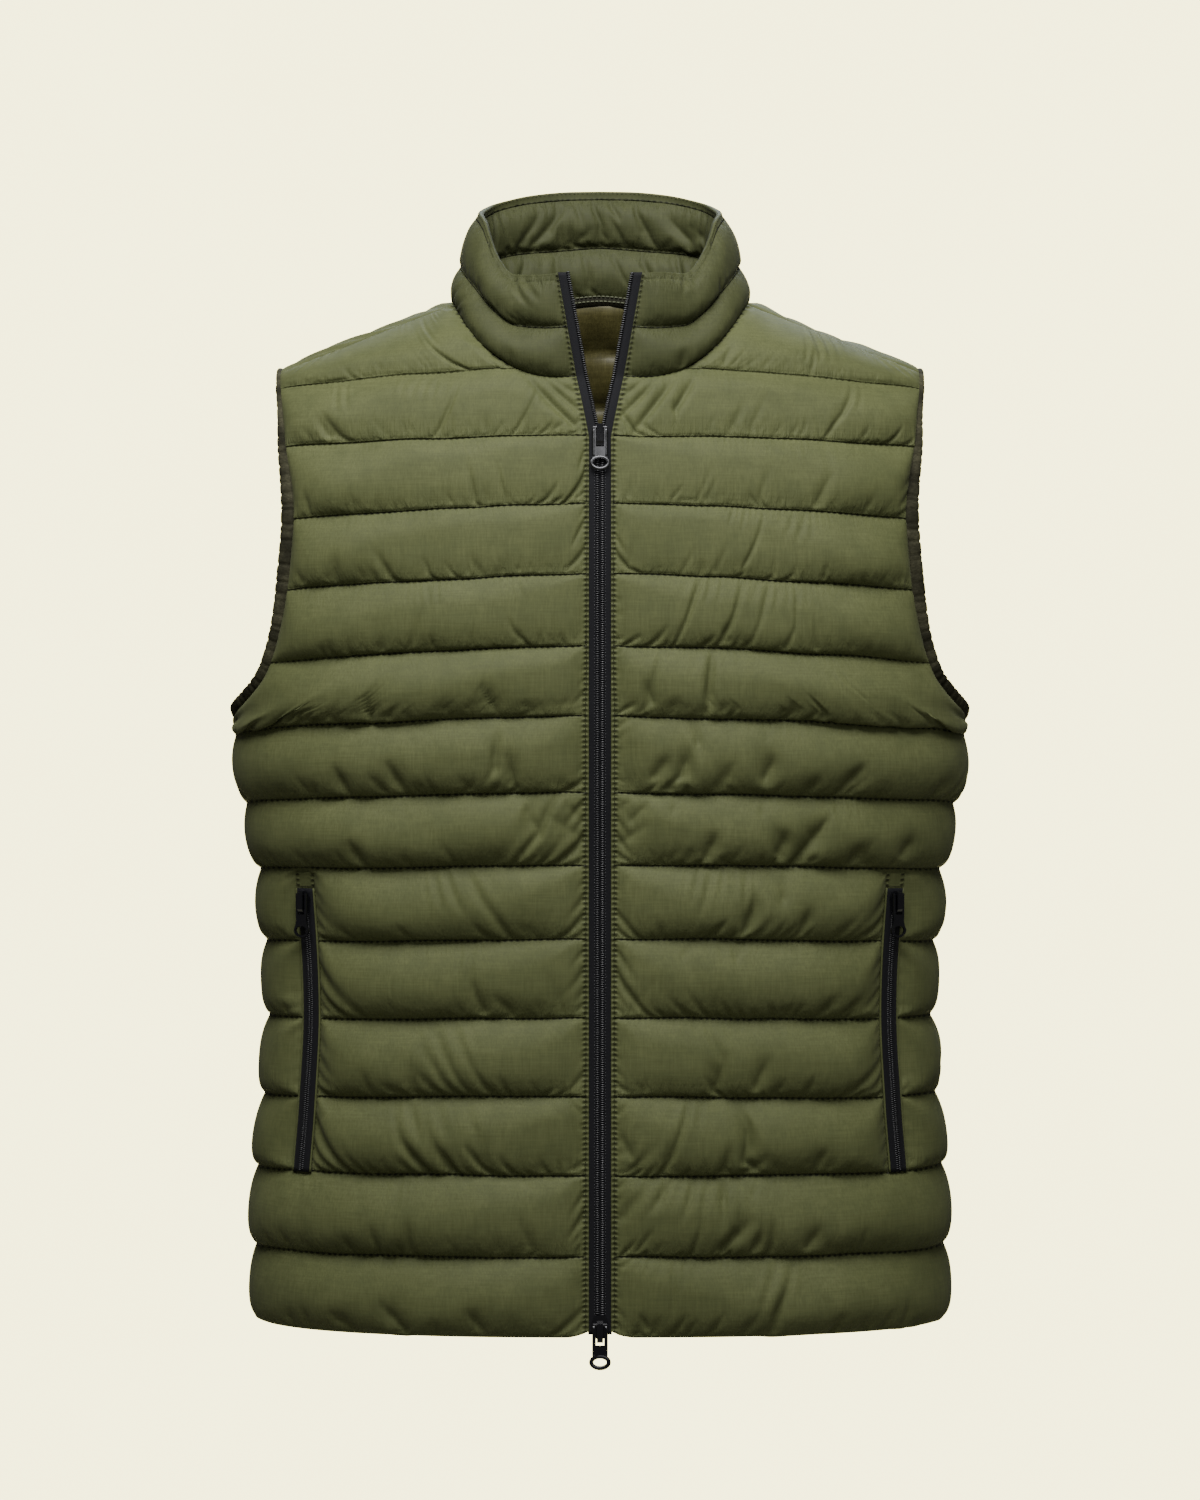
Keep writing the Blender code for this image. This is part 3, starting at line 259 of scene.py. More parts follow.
RIGHT_CREASES = (
    # the same for the wearer's right, mirrored
    (80, -380, 26, -325, 3, 1.0), (60, -374, 22, -340, 2.4, 0.9), (46, -370, 18, -352, 2.2, 0.7),
    (229, -55, 227, -30, 2.5, 0.5), (116, -63, 101, -34, 3, 0.45), (108, -55, 101, -34, 2.5, 0.4),
    (92, 1, 84, 39, 4, 0.5),
    (103, -16, 103, 17, 3, 0.4), (208, 15, 194, 43, 4.5, 0.5), (259, 17, 249, 43, 4, 0.45),
    (84, 43, 61, 82, 3, 0.5), (41, 47, 14, 74, 4, 0.45), (55, 62, 16, 90, 4, 0.4),
    (37, 102, 16, 101, 3, 0.35), (243, 92, 233, 115, 5, 0.5), (193, 391, 173, 420, 5, 0.5),
    (154, 400, 144, 422, 4, 0.45), (287, 386, 263, 354, 4, 0.4), (324, 444, 292, 424, 4, 0.35),
    (79, 427, 72, 437, 3, 0.35), (217, 548, 193, 577, 4.5, 0.45), (263, 560, 246, 576, 4, 0.4),
    (130, 560, 118, 577, 3.5, 0.4),
)
COLLAR_CREASES = (
    # the same for the inside of the collar, not mirrored
    (-30, -550, -68, -505, 4, 0.8), (-56, -545, -80, -508, 3, 0.6), (36, -541, 56, -503, 4, 0.8),
    (64, -539, 93, -509, 4, 0.8), (-1, -539, 1, -503, 5, 0.5), (-10, -520, -26, -504, 3, 0.5),
    (18, -520, 24, -504, 3, 0.5), (84, -530, 108, -512, 3, 0.6), (-40, -482, -45, -470, 3, 0.4),
    (40, -495, 48, -478, 3, 0.5), (-70, -495, -80, -476, 3, 0.5), (-10, -480, -12, -462, 4, 0.4),
)


def even_count(length, cell):
    """How many cells a length takes, in whole cells of the lining."""
    return max(INSIDE, int(round(length / cell / INSIDE)) * INSIDE)


# ---------------------------------------------------------------- the stitched surface
class Curve:
    """A column of a table against its first column, on a smooth curve through its rows."""

    def __init__(self, rows, column):
        self.keys = np.array([row[0] for row in rows])
        self.values = np.array([row[column] for row in rows])
        self.steps = np.diff(self.keys)
        slopes = np.diff(self.values) / self.steps
        tangents = np.concatenate([slopes[:1], slopes[1:] * 0, slopes[-1:]])
        product = slopes[:-1] * slopes[1:]
        total = slopes[:-1] + slopes[1:]
        tangents[1:-1] = np.where(product > 0, 2 * product / np.where(total == 0, 1, total), 0)
        self.tangents = tangents

    def __call__(self, key):
        key = np.clip(key, self.keys[0], self.keys[-1])
        at = np.clip(np.searchsorted(self.keys, key, side="right") - 1, 0, len(self.keys) - 2)
        step = self.steps[at]
        t = (key - self.keys[at]) / step
        return (
            self.values[at] * (1 + 2 * t) * (1 - t) ** 2
            + self.tangents[at] * step * t * (1 - t) ** 2
            + self.values[at + 1] * t * t * (3 - 2 * t)
            - self.tangents[at + 1] * step * t * t * (1 - t)
        )


def smoothstep(t):
    t = np.clip(t, 0, 1)
    return t * t * (3 - 2 * t)


def unit(vectors):
    return vectors / np.maximum(np.linalg.norm(vectors, axis=-1, keepdims=True), 1e-12)


def run_along(points):
    """Length from the first point of a line to each of its points."""
    return np.concatenate([[0], np.cumsum(np.linalg.norm(np.diff(points, axis=0), axis=1))])


def between(at, run, values):
    """Values along a line, read where its length from the first point is `at`."""
    return np.stack([np.interp(at, run, column) for column in values.T], axis=-1)


half_width = Curve(BODY_SECTIONS, 1)
depth_front, depth_behind = Curve(BODY_SECTIONS, 2), Curve(BODY_SECTIONS, 3)
armhole_front, armhole_behind = Curve(ARMHOLE, 1), Curve(ARMHOLE, 2)


def depth(z, behind):
    return np.where(behind, depth_behind(z), depth_front(z))


def squareness(behind):
    return np.where(behind, SQUARE_BACK, SQUARE_FRONT)


def ridge(x):
    return RIDGE_HEIGHT - SHOULDER_SLOPE * np.hypot(x, RIDGE_SOFT)


def rise(x, z):
    return np.maximum(0.0, (z - UNDERARM) / (ridge(x) - UNDERARM))


def inside_by(p, behind):
    x, y, z = p[..., 0], p[..., 1], p[..., 2]
    n = squareness(behind)
    side = 1 - np.abs(x / half_width(z)) ** n
    return np.abs(y / depth(z, behind)) ** n - side * (1 - rise(x, z) ** n)


def normals_of(p, behind):
    step = 1e-5
    slope = np.empty_like(p)
    for axis in range(3):
        shift = np.zeros(3)
        shift[axis] = step
        slope[..., axis] = inside_by(p + shift, behind) - inside_by(p - shift, behind)
    return slope / np.linalg.norm(slope, axis=-1, keepdims=True)


def point(x, y, z):
    return np.stack(np.broadcast_arrays(x, y, z), axis=-1).astype(float)


def on_surface(x, z, behind):
    n = squareness(behind)
    side = np.maximum(0.0, 1 - np.abs(x / half_width(z)) ** n)
    up = np.maximum(0.0, 1 - rise(x, z) ** n)
    y = depth(z, behind) * (side * up) ** (1 / n)
    return point(x, np.where(behind, y, -y), z)


def over_shoulder(x, turn):
    behind = turn > math.pi / 2
    n = squareness(behind)
    z = UNDERARM + (ridge(x) - UNDERARM) * np.sin(turn) ** (2 / n)
    side = np.maximum(0.0, 1 - np.abs(x / half_width(z)) ** n)
    y = depth(z, behind) * side ** (1 / n) * np.abs(np.cos(turn)) ** (2 / n)
    return point(x, np.where(behind, y, -y), z)


def turn_of(p, behind):
    share = np.minimum(1.0, rise(p[..., 0], p[..., 2]) ** (squareness(behind) / 2))
    return np.where(behind, math.pi - np.arcsin(share), np.arcsin(share))


def across(share, first, last, width, behind):
    n = squareness(behind)
    start = np.arcsin(np.minimum(1.0, first / width) ** (n / 2))
    end = np.arcsin(np.minimum(1.0, last / width) ** (n / 2))
    return width * np.sin(start + (end - start) * share) ** (2 / n)


def neckline(turn):
    turn = np.asarray(turn, float)
    behind = turn > math.pi / 2
    power = 2 / np.where(behind, NECK_SQUARE_BACK, NECK_SQUARE_FRONT)
    x = NECK_HALF * np.maximum(np.sin(turn), 0) ** power
    y = np.where(behind, NECK_BACK, NECK_FRONT) * np.abs(np.cos(turn)) ** power
    n = squareness(behind)
    deep = np.where(behind, depth_behind(UNDERARM), depth_front(UNDERARM))
    share = 1 - (y / deep) ** n / (1 - (x / half_width(UNDERARM)) ** n)
    z = UNDERARM + (ridge(x) - UNDERARM) * share ** (1 / n)
    return point(x, np.where(behind, y, -y), z + neck_rise(turn))


def neck_rise(turn):
    """How far the back's neck edge stands up from the slope of the shoulders."""
    return NECK_RISE * smoothstep((turn - NECK_RISE_FROM) / (NECK_RISE_FULL - NECK_RISE_FROM))


def neck_turn_at(x):
    return math.asin((x / NECK_HALF) ** (NECK_SQUARE_FRONT / 2))


def channel_fullness(step):
    """From 0 at a line to 1: a gentle slope above the lower line, a steep one under the upper."""
    return np.maximum(0.0, 1 - np.abs(2 * step - 1) ** 2.2) ** (0.88 - 0.38 * smoothstep(step * 1.4 - 0.2))


def zip_edge(z):
    return ZIP_HALF + ZIP_OPEN_SLOPE * np.maximum(0.0, z - ZIP_OPEN_ABOVE)


def channel_steps(rows):
    """Steps from one quilting line to the next, closer together beside the lines."""
    t = np.linspace(0, 1, rows + 1)
    return 0.5 * t + 0.25 * (1 - np.cos(math.pi * t))


def mixed_turns(low, high, steps, behind):
    """Rows between two rows, evenly in place across and in turn."""
    turn_a = turn_of(low, behind)
    turn_b = turn_of(high, np.where(high[..., 1] < 0, False, behind))
    s = np.asarray(steps)[:, None]
    x = low[..., 0] + (high[..., 0] - low[..., 0]) * s
    return over_shoulder(x, turn_a + (turn_b - turn_a) * s)


def low_rows(z_first, z_last, shares, behind):
    """Rows from the zip, or from the middle of the back, to the side seam or the armhole."""
    z_first, z_last = np.asarray(z_first)[:, None], np.asarray(z_last)[:, None]
    arm = armhole_behind(z_last) if behind else armhole_front(z_last)
    edge = np.where(z_last > UNDERARM, arm, half_width(z_last))
    start = 0.0 if behind else zip_edge(z_first)
    z = z_first + (z_last - z_first) * shares
    width = half_width(z)
    last = np.minimum(edge * width / half_width(z_last), width)
    return on_surface(across(shares, start, last, width, behind), z, behind)


# ---------------------------------------------------------------- panels as grids of points
class Panel:
    """Rows of points, and of each row its step up its channel, its channel, where it starts and
    how full it may get."""

    def __init__(self, shares, behind):
        self.behind = behind
        self.points, self.steps, self.channels, self.first, self.most = [], [], [], [], []
        steps = channel_steps(ROWS)[:-1]
        for number in range(len(QUILTING) - 1):
            (z0, d0), (z1, d1) = QUILTING[number], QUILTING[number + 1]
            z_first = z0 + (z1 - z0) * steps
            z_last = z_first - (d0 + (d1 - d0) * steps)
            self.add(low_rows(z_last if behind else z_first, z_last, shares, behind), steps, number)

    def add(self, rows, steps, channel, first=0, most=1.0):
        for row, step in zip(rows, steps):
            self.points.append(row)
            self.steps.append(step)
            self.channels.append(channel)
            self.first.append(first)
            self.most.append(most)


def front_line_1(shares):
    neck = shares <= NECK_SHARE + 1e-9
    part = shares[neck] / NECK_SHARE
    first = neck_turn_at(COLLAR_FIRST_X)
    top = neckline(first + (TOP_LINE_NECK_TURN - first) * part)
    corner = neckline(TOP_LINE_NECK_TURN)
    part = (shares[~neck] - NECK_SHARE) / (1 - NECK_SHARE)
    last = armhole_front(TOP_LINE_AT_ARMHOLE)
    x = across(part, corner[0], last, half_width(UNDERARM), False)
    rest = on_surface(x, corner[2] + (TOP_LINE_AT_ARMHOLE - corner[2]) * part, False)
    return np.concatenate([top, rest])


def shoulder_seam(shares, side):
    turn = SEAM_TURN - side * SHOULDER_OVERLAP / depth_front(UNDERARM)
    x = neckline(SHOULDER_NECK_TURN)[0]
    part = (shares - shares[0]) / (1 - shares[0])
    return over_shoulder(x + (SHOULDER_TIP - x) * part, turn)


def front_panel(shares, neck_column):
    panel = Panel(shares, False)
    fade = np.clip(1 - shares / 0.03, 0, 1) ** 2
    for r, row in enumerate(panel.points[:4]):
        panel.points[r] = on_surface(row[:, 0], row[:, 2] + HEM_CORNER * fade * (1 - r / 4), False)
    steps = channel_steps(ROWS)
    z_2, d_2 = QUILTING[-1]
    line_2 = low_rows([z_2], [z_2 - d_2], shares, False)[0]
    line_1 = front_line_1(shares)
    last = len(QUILTING) - 1
    panel.add(mixed_turns(line_2, line_1, steps[:-1], False), steps[:-1], last)
    panel.add([line_1], [0.0], last)
    line_1 = line_1[neck_column:]
    seam = shoulder_seam(shares[neck_column:], -1)
    rows = mixed_turns(line_1, seam, steps[1:], False)
    necks = neckline(TOP_LINE_NECK_TURN + (SHOULDER_NECK_TURN - TOP_LINE_NECK_TURN) * steps[1:])
    fade = (1 - np.linspace(0, 1, len(line_1))) ** 3
    for r, neck in enumerate(necks[:-1]):
        moved = rows[r] + (neck - rows[r, 0]) * fade[:, None]
        rows[r] = on_surface(moved[:, 0], moved[:, 2], False)
        rows[r, 0] = neck
    rows[-1] = seam
    panel.add(rows, steps[1:], last + 1, neck_column, SHOULDER_FULL)
    return panel


def back_panel(shares):
    panel = Panel(shares, True)
    steps = channel_steps(ROWS)
    z_2 = QUILTING[-1][0] - QUILTING[-1][1]
    line_2, line_1 = low_rows([z_2, TOP_LINE_AT_ARMHOLE], [z_2, TOP_LINE_AT_ARMHOLE], shares, True)
    last = len(QUILTING) - 1
    panel.add(mixed_turns(line_2, line_1, steps[:-1], True), steps[:-1], last)
    neck = shares <= BACK_NECK_SHARE + 1e-9
    turns = math.pi + (SHOULDER_NECK_TURN - math.pi) * shares[neck] / BACK_NECK_SHARE
    top = np.concatenate([neckline(turns), shoulder_seam(np.array([BACK_NECK_SHARE, *shares[~neck]]), 1)[1:]])
    top[neck.sum() - 1] = over_shoulder(neckline(SHOULDER_NECK_TURN)[0], SEAM_TURN)
    top[0, 0] = 0.0
    lift = np.zeros(top.shape)
    lift[: len(turns), 2] = neck_rise(turns)
    halves = ((0, steps[:-1], (1 + SHOULDER_FULL) / 2), (1, steps, SHOULDER_FULL))
    for whole, part, most in halves:
        up = (whole + part) / 2
        rows = mixed_turns(line_1, top - lift, up, True) + lift * (up**2)[:, None, None]
        panel.add(rows, part, last + 1 + whole, 0, most)
    panel.points[-1] = top
    return panel


# ---------------------------------------------------------------- seeded smooth noise
def smooth_noise(rng, shape, cells):
    """Noise from about -1 to 1 over a grid, on cubic curves through cells of random values."""
    out = rng.uniform(-1, 1, (cells[0] + 3, cells[1] + 3))
    for axis, (size, count) in enumerate(zip(shape, cells)):
        t = np.linspace(0, count, size) * 0.999999
        i = t.astype(int)
        f = t - i
        weights = (
            (1 - f) ** 3 / 6,
            (3 * f**3 - 6 * f**2 + 4) / 6,
            (-3 * f**3 + 3 * f**2 + 3 * f + 1) / 6,
            f**3 / 6,
        )
        out = np.moveaxis(out, axis, 0)
        out = sum(w[:, None] * out[i + k] for k, w in enumerate(weights))
        out = np.moveaxis(out, 0, axis)
    return out * 1.6


# ---------------------------------------------------------------- cloth
def thread_families(shape):
    """Pairs of neighbours, in families that share no point: slices of both ends and a key."""
    families = []
    everything = slice(None)
    for odd in (0, 1):
        a, c = slice(odd, shape[1] - 1, 2), slice(odd + 1, shape[1], 2)
        families.append(((everything, a), (everything, c), ("along", everything, a)))
        a, c = slice(odd, shape[0] - 1, 2), slice(odd + 1, shape[0], 2)
        families.append(((a, everything), (c, everything), ("up", a, everything)))
        left, right = slice(0, shape[1] - 1), slice(1, shape[1])
        families.append(((a, left), (c, right), ("up_right", a, everything)))
        families.append(((a, right), (c, left), ("up_left", a, everything)))
    return families


def rest_lengths(base, longer_along, longer_up, lean):
    """Lengths of the cloth's own threads: of the sewn surface's cells, made longer and leant."""
    h, v = base[:, 1:] - base[:, :-1], base[1:] - base[:-1]
    along = np.linalg.norm(h, axis=-1) * (1 + longer_along[:, :-1])
    up = np.linalg.norm(v, axis=-1) * (1 + longer_up[:-1])
    level = (along[:-1] + along[1:]) / 2
    steep = (up[:, :-1] + up[:, 1:]) / 2
    cosine = (h[:-1] * v[:, :-1]).sum(-1)
    cosine /= np.linalg.norm(h[:-1], axis=-1) * np.linalg.norm(v[:, :-1], axis=-1) + 1e-12
    cosine = np.clip(cosine + lean[:-1, :-1], -0.9, 0.9)
    up_right = np.sqrt(level**2 + steep**2 + 2 * level * steep * cosine)
    up_left = np.sqrt(level**2 + steep**2 - 2 * level * steep * cosine)
    return {"along": along, "up": up, "up_right": up_right, "up_left": up_left}


def weighted(free, a, c):
    """How much of a pull each end takes: a sewn end takes none."""
    share = free[a] + free[c]
    inverse = np.where(share > 0, 1 / np.maximum(share, 1e-6), 0).astype(np.float32)
    return free[a] * inverse, free[c] * inverse


def draw(x, a, c, length, share_a, share_c, only_open=False, stiffness=1.0):
    """Draws the points a and c of a family to their distance."""
    d = [p[c] - p[a] for p in x]
    size = np.sqrt(d[0] * d[0] + d[1] * d[1] + d[2] * d[2]) + 1e-9
    off = size - length
    if only_open:
        off = np.minimum(off, 0)
    scale = off / size * stiffness
    for k in range(3):
        move = d[k] * scale
        x[k][a] += move * share_a
        x[k][c] -= move * share_c


def relax(start, base, ways, free, cap, rest, rounds, push, sag):
    """Settles cloth that is sewn down where it isn't free and blown up from behind.

    Each round pushes it out and lets it sag, then draws each thread to its own length, opens
    sharp folds and holds it between the lining and the cap.
    """
    x = [start[..., k].astype(np.float32) for k in range(3)]
    n = [ways[..., k].astype(np.float32) for k in range(3)]
    b = [base[..., k].astype(np.float32) for k in range(3)]
    w, cap = free.astype(np.float32), cap.astype(np.float32)
    shape = w.shape
    threads = [
        (a, c, rest[kind][rows, columns].astype(np.float32), *weighted(w, a, c))
        for a, c, (kind, rows, columns) in thread_families(shape)
    ]
    folds = []
    for axis, kind in ((1, "along"), (0, "up")):
        length = rest[kind]
        both = length[:, :-1] + length[:, 1:] if axis else length[:-1] + length[1:]
        for first in range(4):
            ends = [slice(None), slice(None)]
            a, c = list(ends), list(ends)
            a[axis], c[axis] = slice(first, shape[axis] - 2, 4), slice(first + 2, shape[axis], 4)
            a, c = tuple(a), tuple(c)
            folds.append((a, c, both[a].astype(np.float32), *weighted(w, a, c)))
    old = [c.copy() for c in x]
    inner = (slice(1, -1), slice(1, -1))
    for step in range(rounds):
        for k in range(3):
            here = x[k].copy()
            x[k] += w * ((here - old[k]) * DAMPING + n[k] * push)
            old[k] = here
        x[2] -= w * sag
        for thread in threads:
            draw(x, *thread)
        for fold in folds:
            draw(x, *fold, only_open=True, stiffness=BEND)
        for k in range(3):
            mean = (x[k][:-2, 1:-1] + x[k][2:, 1:-1] + x[k][1:-1, :-2] + x[k][1:-1, 2:]) / 4
            x[k][inner] += w[inner] * SMOOTH * (mean - x[k][inner])
        out = (x[0] - b[0]) * n[0] + (x[1] - b[1]) * n[1] + (x[2] - b[2]) * n[2]
        excess = w * (np.maximum(out - cap, 0) + np.minimum(out + 0.001, 0))
        for k in range(3):
            x[k] -= n[k] * excess
    return np.stack(x, axis=-1).astype(float)


def view_place(points):
    """Where the camera sees points of the surface, in VIEW_UNIT, v down."""
    away = VIEW_UNIT * (VIEW_AWAY + points[..., 1] + VEST_FRONT) / VIEW_AWAY
    return points[..., 0] / away, -(points[..., 2] - VIEW_HEIGHT) / away


def crease_depth(points, creases):
    """How deep the folds pressed into the cloth are, from 0 to 1."""
    u, v = view_place(points)
    deep = np.zeros(u.shape)
    for u0, v0, u1, v1, width, most in creases:
        du, dv = u1 - u0, v1 - v0
        t = np.clip(((u - u0) * du + (v - v0) * dv) / (du * du + dv * dv), 0, 1)
        away = np.hypot(u - u0 - t * du, v - v0 - t * dv)
        fade = np.clip(0.35 + 1.3 * t, 0, 1)
        deep = np.maximum(deep, most * fade * np.exp(-((away / width) ** 2)))
    return deep


def lengths_along(points):
    """Length from the first column to each point, along its row."""
    steps = np.linalg.norm(np.diff(points, axis=1), axis=-1)
    return np.concatenate([np.zeros((len(points), 1)), np.cumsum(steps, axis=1)], axis=1)


CREASE_KINDS = (
    # column of the distance apart, shortest, longest, thinnest, widest, share of the depth, from above
    (0, 0.18, 0.62, 0.0014, 0.0036, 1.0, False),
    (1, 0.08, 0.26, 0.0010, 0.0018, 0.6, False),
    (1, 0.06, 0.22, 0.0010, 0.0018, 0.5, True),
)


def slanted_creases(rng, base, seam_rows, cell, middle, most, apart):
    """Folds that rise from each quilting line, leaning away from the middle column.

    apart says how far apart the long and the short ones are. Short ones hang from the line
    above too.
    """
    deep = np.zeros(base.shape[:2])
    a = np.arange(base.shape[1]) * cell
    up = run_along(base[:, base.shape[1] // 2])
    for low, high in zip(seam_rows[:-1], seam_rows[1:]):
        rows = slice(low, high + 1)
        b, room = up[rows, None] - up[low], up[high] - up[low]
        for kind, shortest, longest, thin, wide, share, from_top in CREASE_KINDS:
            for _ in range(int(a[-1] / apart[kind])):
                foot = rng.uniform(0.010, a[-1] - 0.010)
                long, slant = rng.uniform(shortest, longest) * room, rng.uniform(0.0, 0.75)
                width, depth_here = rng.uniform(thin, wide), rng.uniform(0.25, 1.0) * most * share
                side = (1 if foot > a[middle] else -1) * (-1 if from_top else 1)
                da, db = long * math.sin(slant) * side, long * math.cos(slant)
                start = rng.uniform(0.0, 0.12) * room
                if from_top:
                    start, db = room - start * 0.3, -db
                near = np.abs(a - foot - da / 2) < abs(da) / 2 + 3 * width
                t = np.clip(((a[near] - foot) * da + (b - start) * db) / long**2, 0, 1)
                away = np.hypot(a[near] - foot - t * da, b - start - t * db)
                fold = depth_here * (1.1 - t) * np.exp(-((away / width) ** 2))
                block = deep[rows]
                block[:, near] = np.maximum(block[:, near], fold)
    return deep


def settle(base, ways, valid, height, beside, seam, free, rng, cell, deep, extra_up, calm, taut):
    """A shell of cloth over its sewn surface, blown up to about `height` between its seams.

    beside is each point's distance from the nearest seam row, deep how far folds are pressed
    in, extra_up how much longer the cloth is up the channels than the blown-up form takes,
    calm the share of its gathers that it keeps and taut the share of its length up the channels.
    """
    shape = valid.shape
    long = shape[1] * cell
    high = np.linalg.norm(np.diff(base[:, shape[1] // 2], axis=0), axis=-1).sum()
    channels = max(2, int(high / CHANNEL_HIGH))
    lumps = 1 + LUMPS * smooth_noise(rng, shape, (channels * 2, max(3, int(long / LUMPS_APART))))
    gather = 1 + 1.5 * smooth_noise(rng, shape, (channels * 2, max(3, int(long / GATHERS_APART))))
    gather = GATHER * np.clip(gather, 0.1, 2.4) * calm
    puckers = smooth_noise(rng, shape, (channels * 3, int(long / PUCKERS_APART)))
    folds = smooth_noise(rng, shape, (channels * 2, int(long / FOLDS_APART)))
    lean = LEAN * smooth_noise(rng, shape, (channels * 2, max(3, int(long / LEANS_APART))))
    rows_apart = np.linalg.norm(np.gradient(base, axis=0), axis=-1)
    slope = np.abs(np.gradient(height, axis=0)) / np.maximum(rows_apart, 1e-6)
    arc = (np.minimum(np.sqrt(1 + slope**2) - 1, 0.9) * ARC + 0.010 + extra_up) * taut
    rest = rest_lengths(base, gather, arc, lean)
    rest["along"][~(valid[:, 1:] & valid[:, :-1])] = 1e-4
    rest["up"][~(valid[1:] & valid[:-1])] = 1e-4
    dash = lengths_along(base) / STITCH + rng.uniform(0, 1, (shape[0], 1))
    lift = np.where(seam, SCALLOP * (0.5 - 0.5 * np.cos(2 * math.pi * dash)), 0.0)
    lift[:, (0, -1)] = 0
    lift[(0, -1), :] = 0
    cap = np.maximum(height * lumps * CAP * (1 - deep), 0.0) + 0.0004
    start = height * lumps * 0.95 * (1 - 0.8 * deep)
    start = start + np.minimum(1, height / 0.004) * (0.0004 * puckers + 0.0004 * folds)
    start = np.where(free, start, lift)
    begin = base + ways * start[..., None]
    shell = relax(begin, base, ways, free, cap, rest, ROUNDS, PUSH, SAG)
    tight = PUCKER * calm * np.exp(-beside / PUCKER_REACH) * np.clip(beside / 0.001, 0, 1)
    shell += ways * (tight * np.clip(puckers, -0.6, 1) * free)[..., None]
    shell[~valid] = base[~valid]
    return shell


def grid_of(panel, columns):
    rows = len(panel.points)
    base, valid = np.zeros((rows, columns, 3)), np.ones((rows, columns), bool)
    for r, (row, first) in enumerate(zip(panel.points, panel.first)):
        base[r, first:] = row
        if first:
            base[r, :first] = row[0]
            valid[r, :first] = False
    return base, valid


def seam_wander(rng, shape, cell, first, notch):
    """How far rows stray up and down, less towards the panel's edges and its notch."""
    r, c = np.arange(shape[0])[:, None], np.arange(shape[1])[None, :]
    loose = np.clip(np.minimum(r, shape[0] - 1 - r) / 8, 0, 1)
    loose = loose * np.clip(np.minimum(c - first, shape[1] - 1 - c) / 8, 0, 1)
    loose = loose * np.where(c < notch[1] + 10, np.clip((notch[0] - r) / 10, 0, 1), 1)
    stray = smooth_noise(rng, shape, (len(QUILTING) + 1, int(shape[1] * cell / WANDER_APART)))
    return SEAM_WANDER * stray * loose


def near_side(base, shares, first, fade, height, reach):
    """From 0 to 1 towards the side of a panel, at about one height."""
    side = smoothstep((np.abs(shares) - first) / fade)[None, :]
    return side * np.exp(-(((base[..., 2] - height) / reach) ** 2))


def fit_front(base, shares, place, notch, height, free, extra_up):
    """Fits a front's arrays to its zip and its pocket. Gives where it is stitched beside them."""
    chest = smoothstep((place - CHEST_FROM) / 2.5)[:, None]
    chest = chest * (1 - smoothstep((place - CHEST_TO) / 1.0))[:, None]
    height *= 1 - CHEST_FLAT * chest * (1 - smoothstep((shares - 0.40) / 0.35))[None, :]
    free[notch[0] :, notch[1]] = False
    free[:, : ZIP_STITCH_COLUMN + 1] = False
    run = lengths_along(base)
    past_zip = run - run[:, [ZIP_STITCH_COLUMN]]
    extra_up += 0.04 * np.exp(-np.abs(past_zip) / 0.012)
    stitched = np.exp(-(((past_zip - 0.0004) / 0.0018) ** 2))
    welt = (shares > POCKET_SHARES[0] - WELT_SHARE) & (shares < POCKET_SHARES[1] + WELT_SHARE)
    level = (base[..., 2] < WELT_TOP) & (base[..., 2] > POCKET_BOTTOM - 0.0015)
    free &= ~(level & welt[None, :])
    away = np.minimum(np.abs(shares - POCKET_SHARES[0]), np.abs(shares - POCKET_SHARES[1]))
    near = np.clip((POCKET_TOP + 0.010 - base[..., 2]) / 0.010, 0, 1)
    near *= np.clip((base[..., 2] - POCKET_BOTTOM + 0.010) / 0.010, 0, 1)
    height *= 1 - near * (1 - np.clip(away / 0.050, 0, 1) ** 0.55)[None, :]
    extra_up += 0.05 * near * np.exp(-away * FRONT_WIDTH / 0.010)[None, :]
    lines = np.abs(away - WELT_LINE) * FRONT_WIDTH
    return np.maximum(stitched, level * welt * np.exp(-((lines / 0.0012) ** 2)))


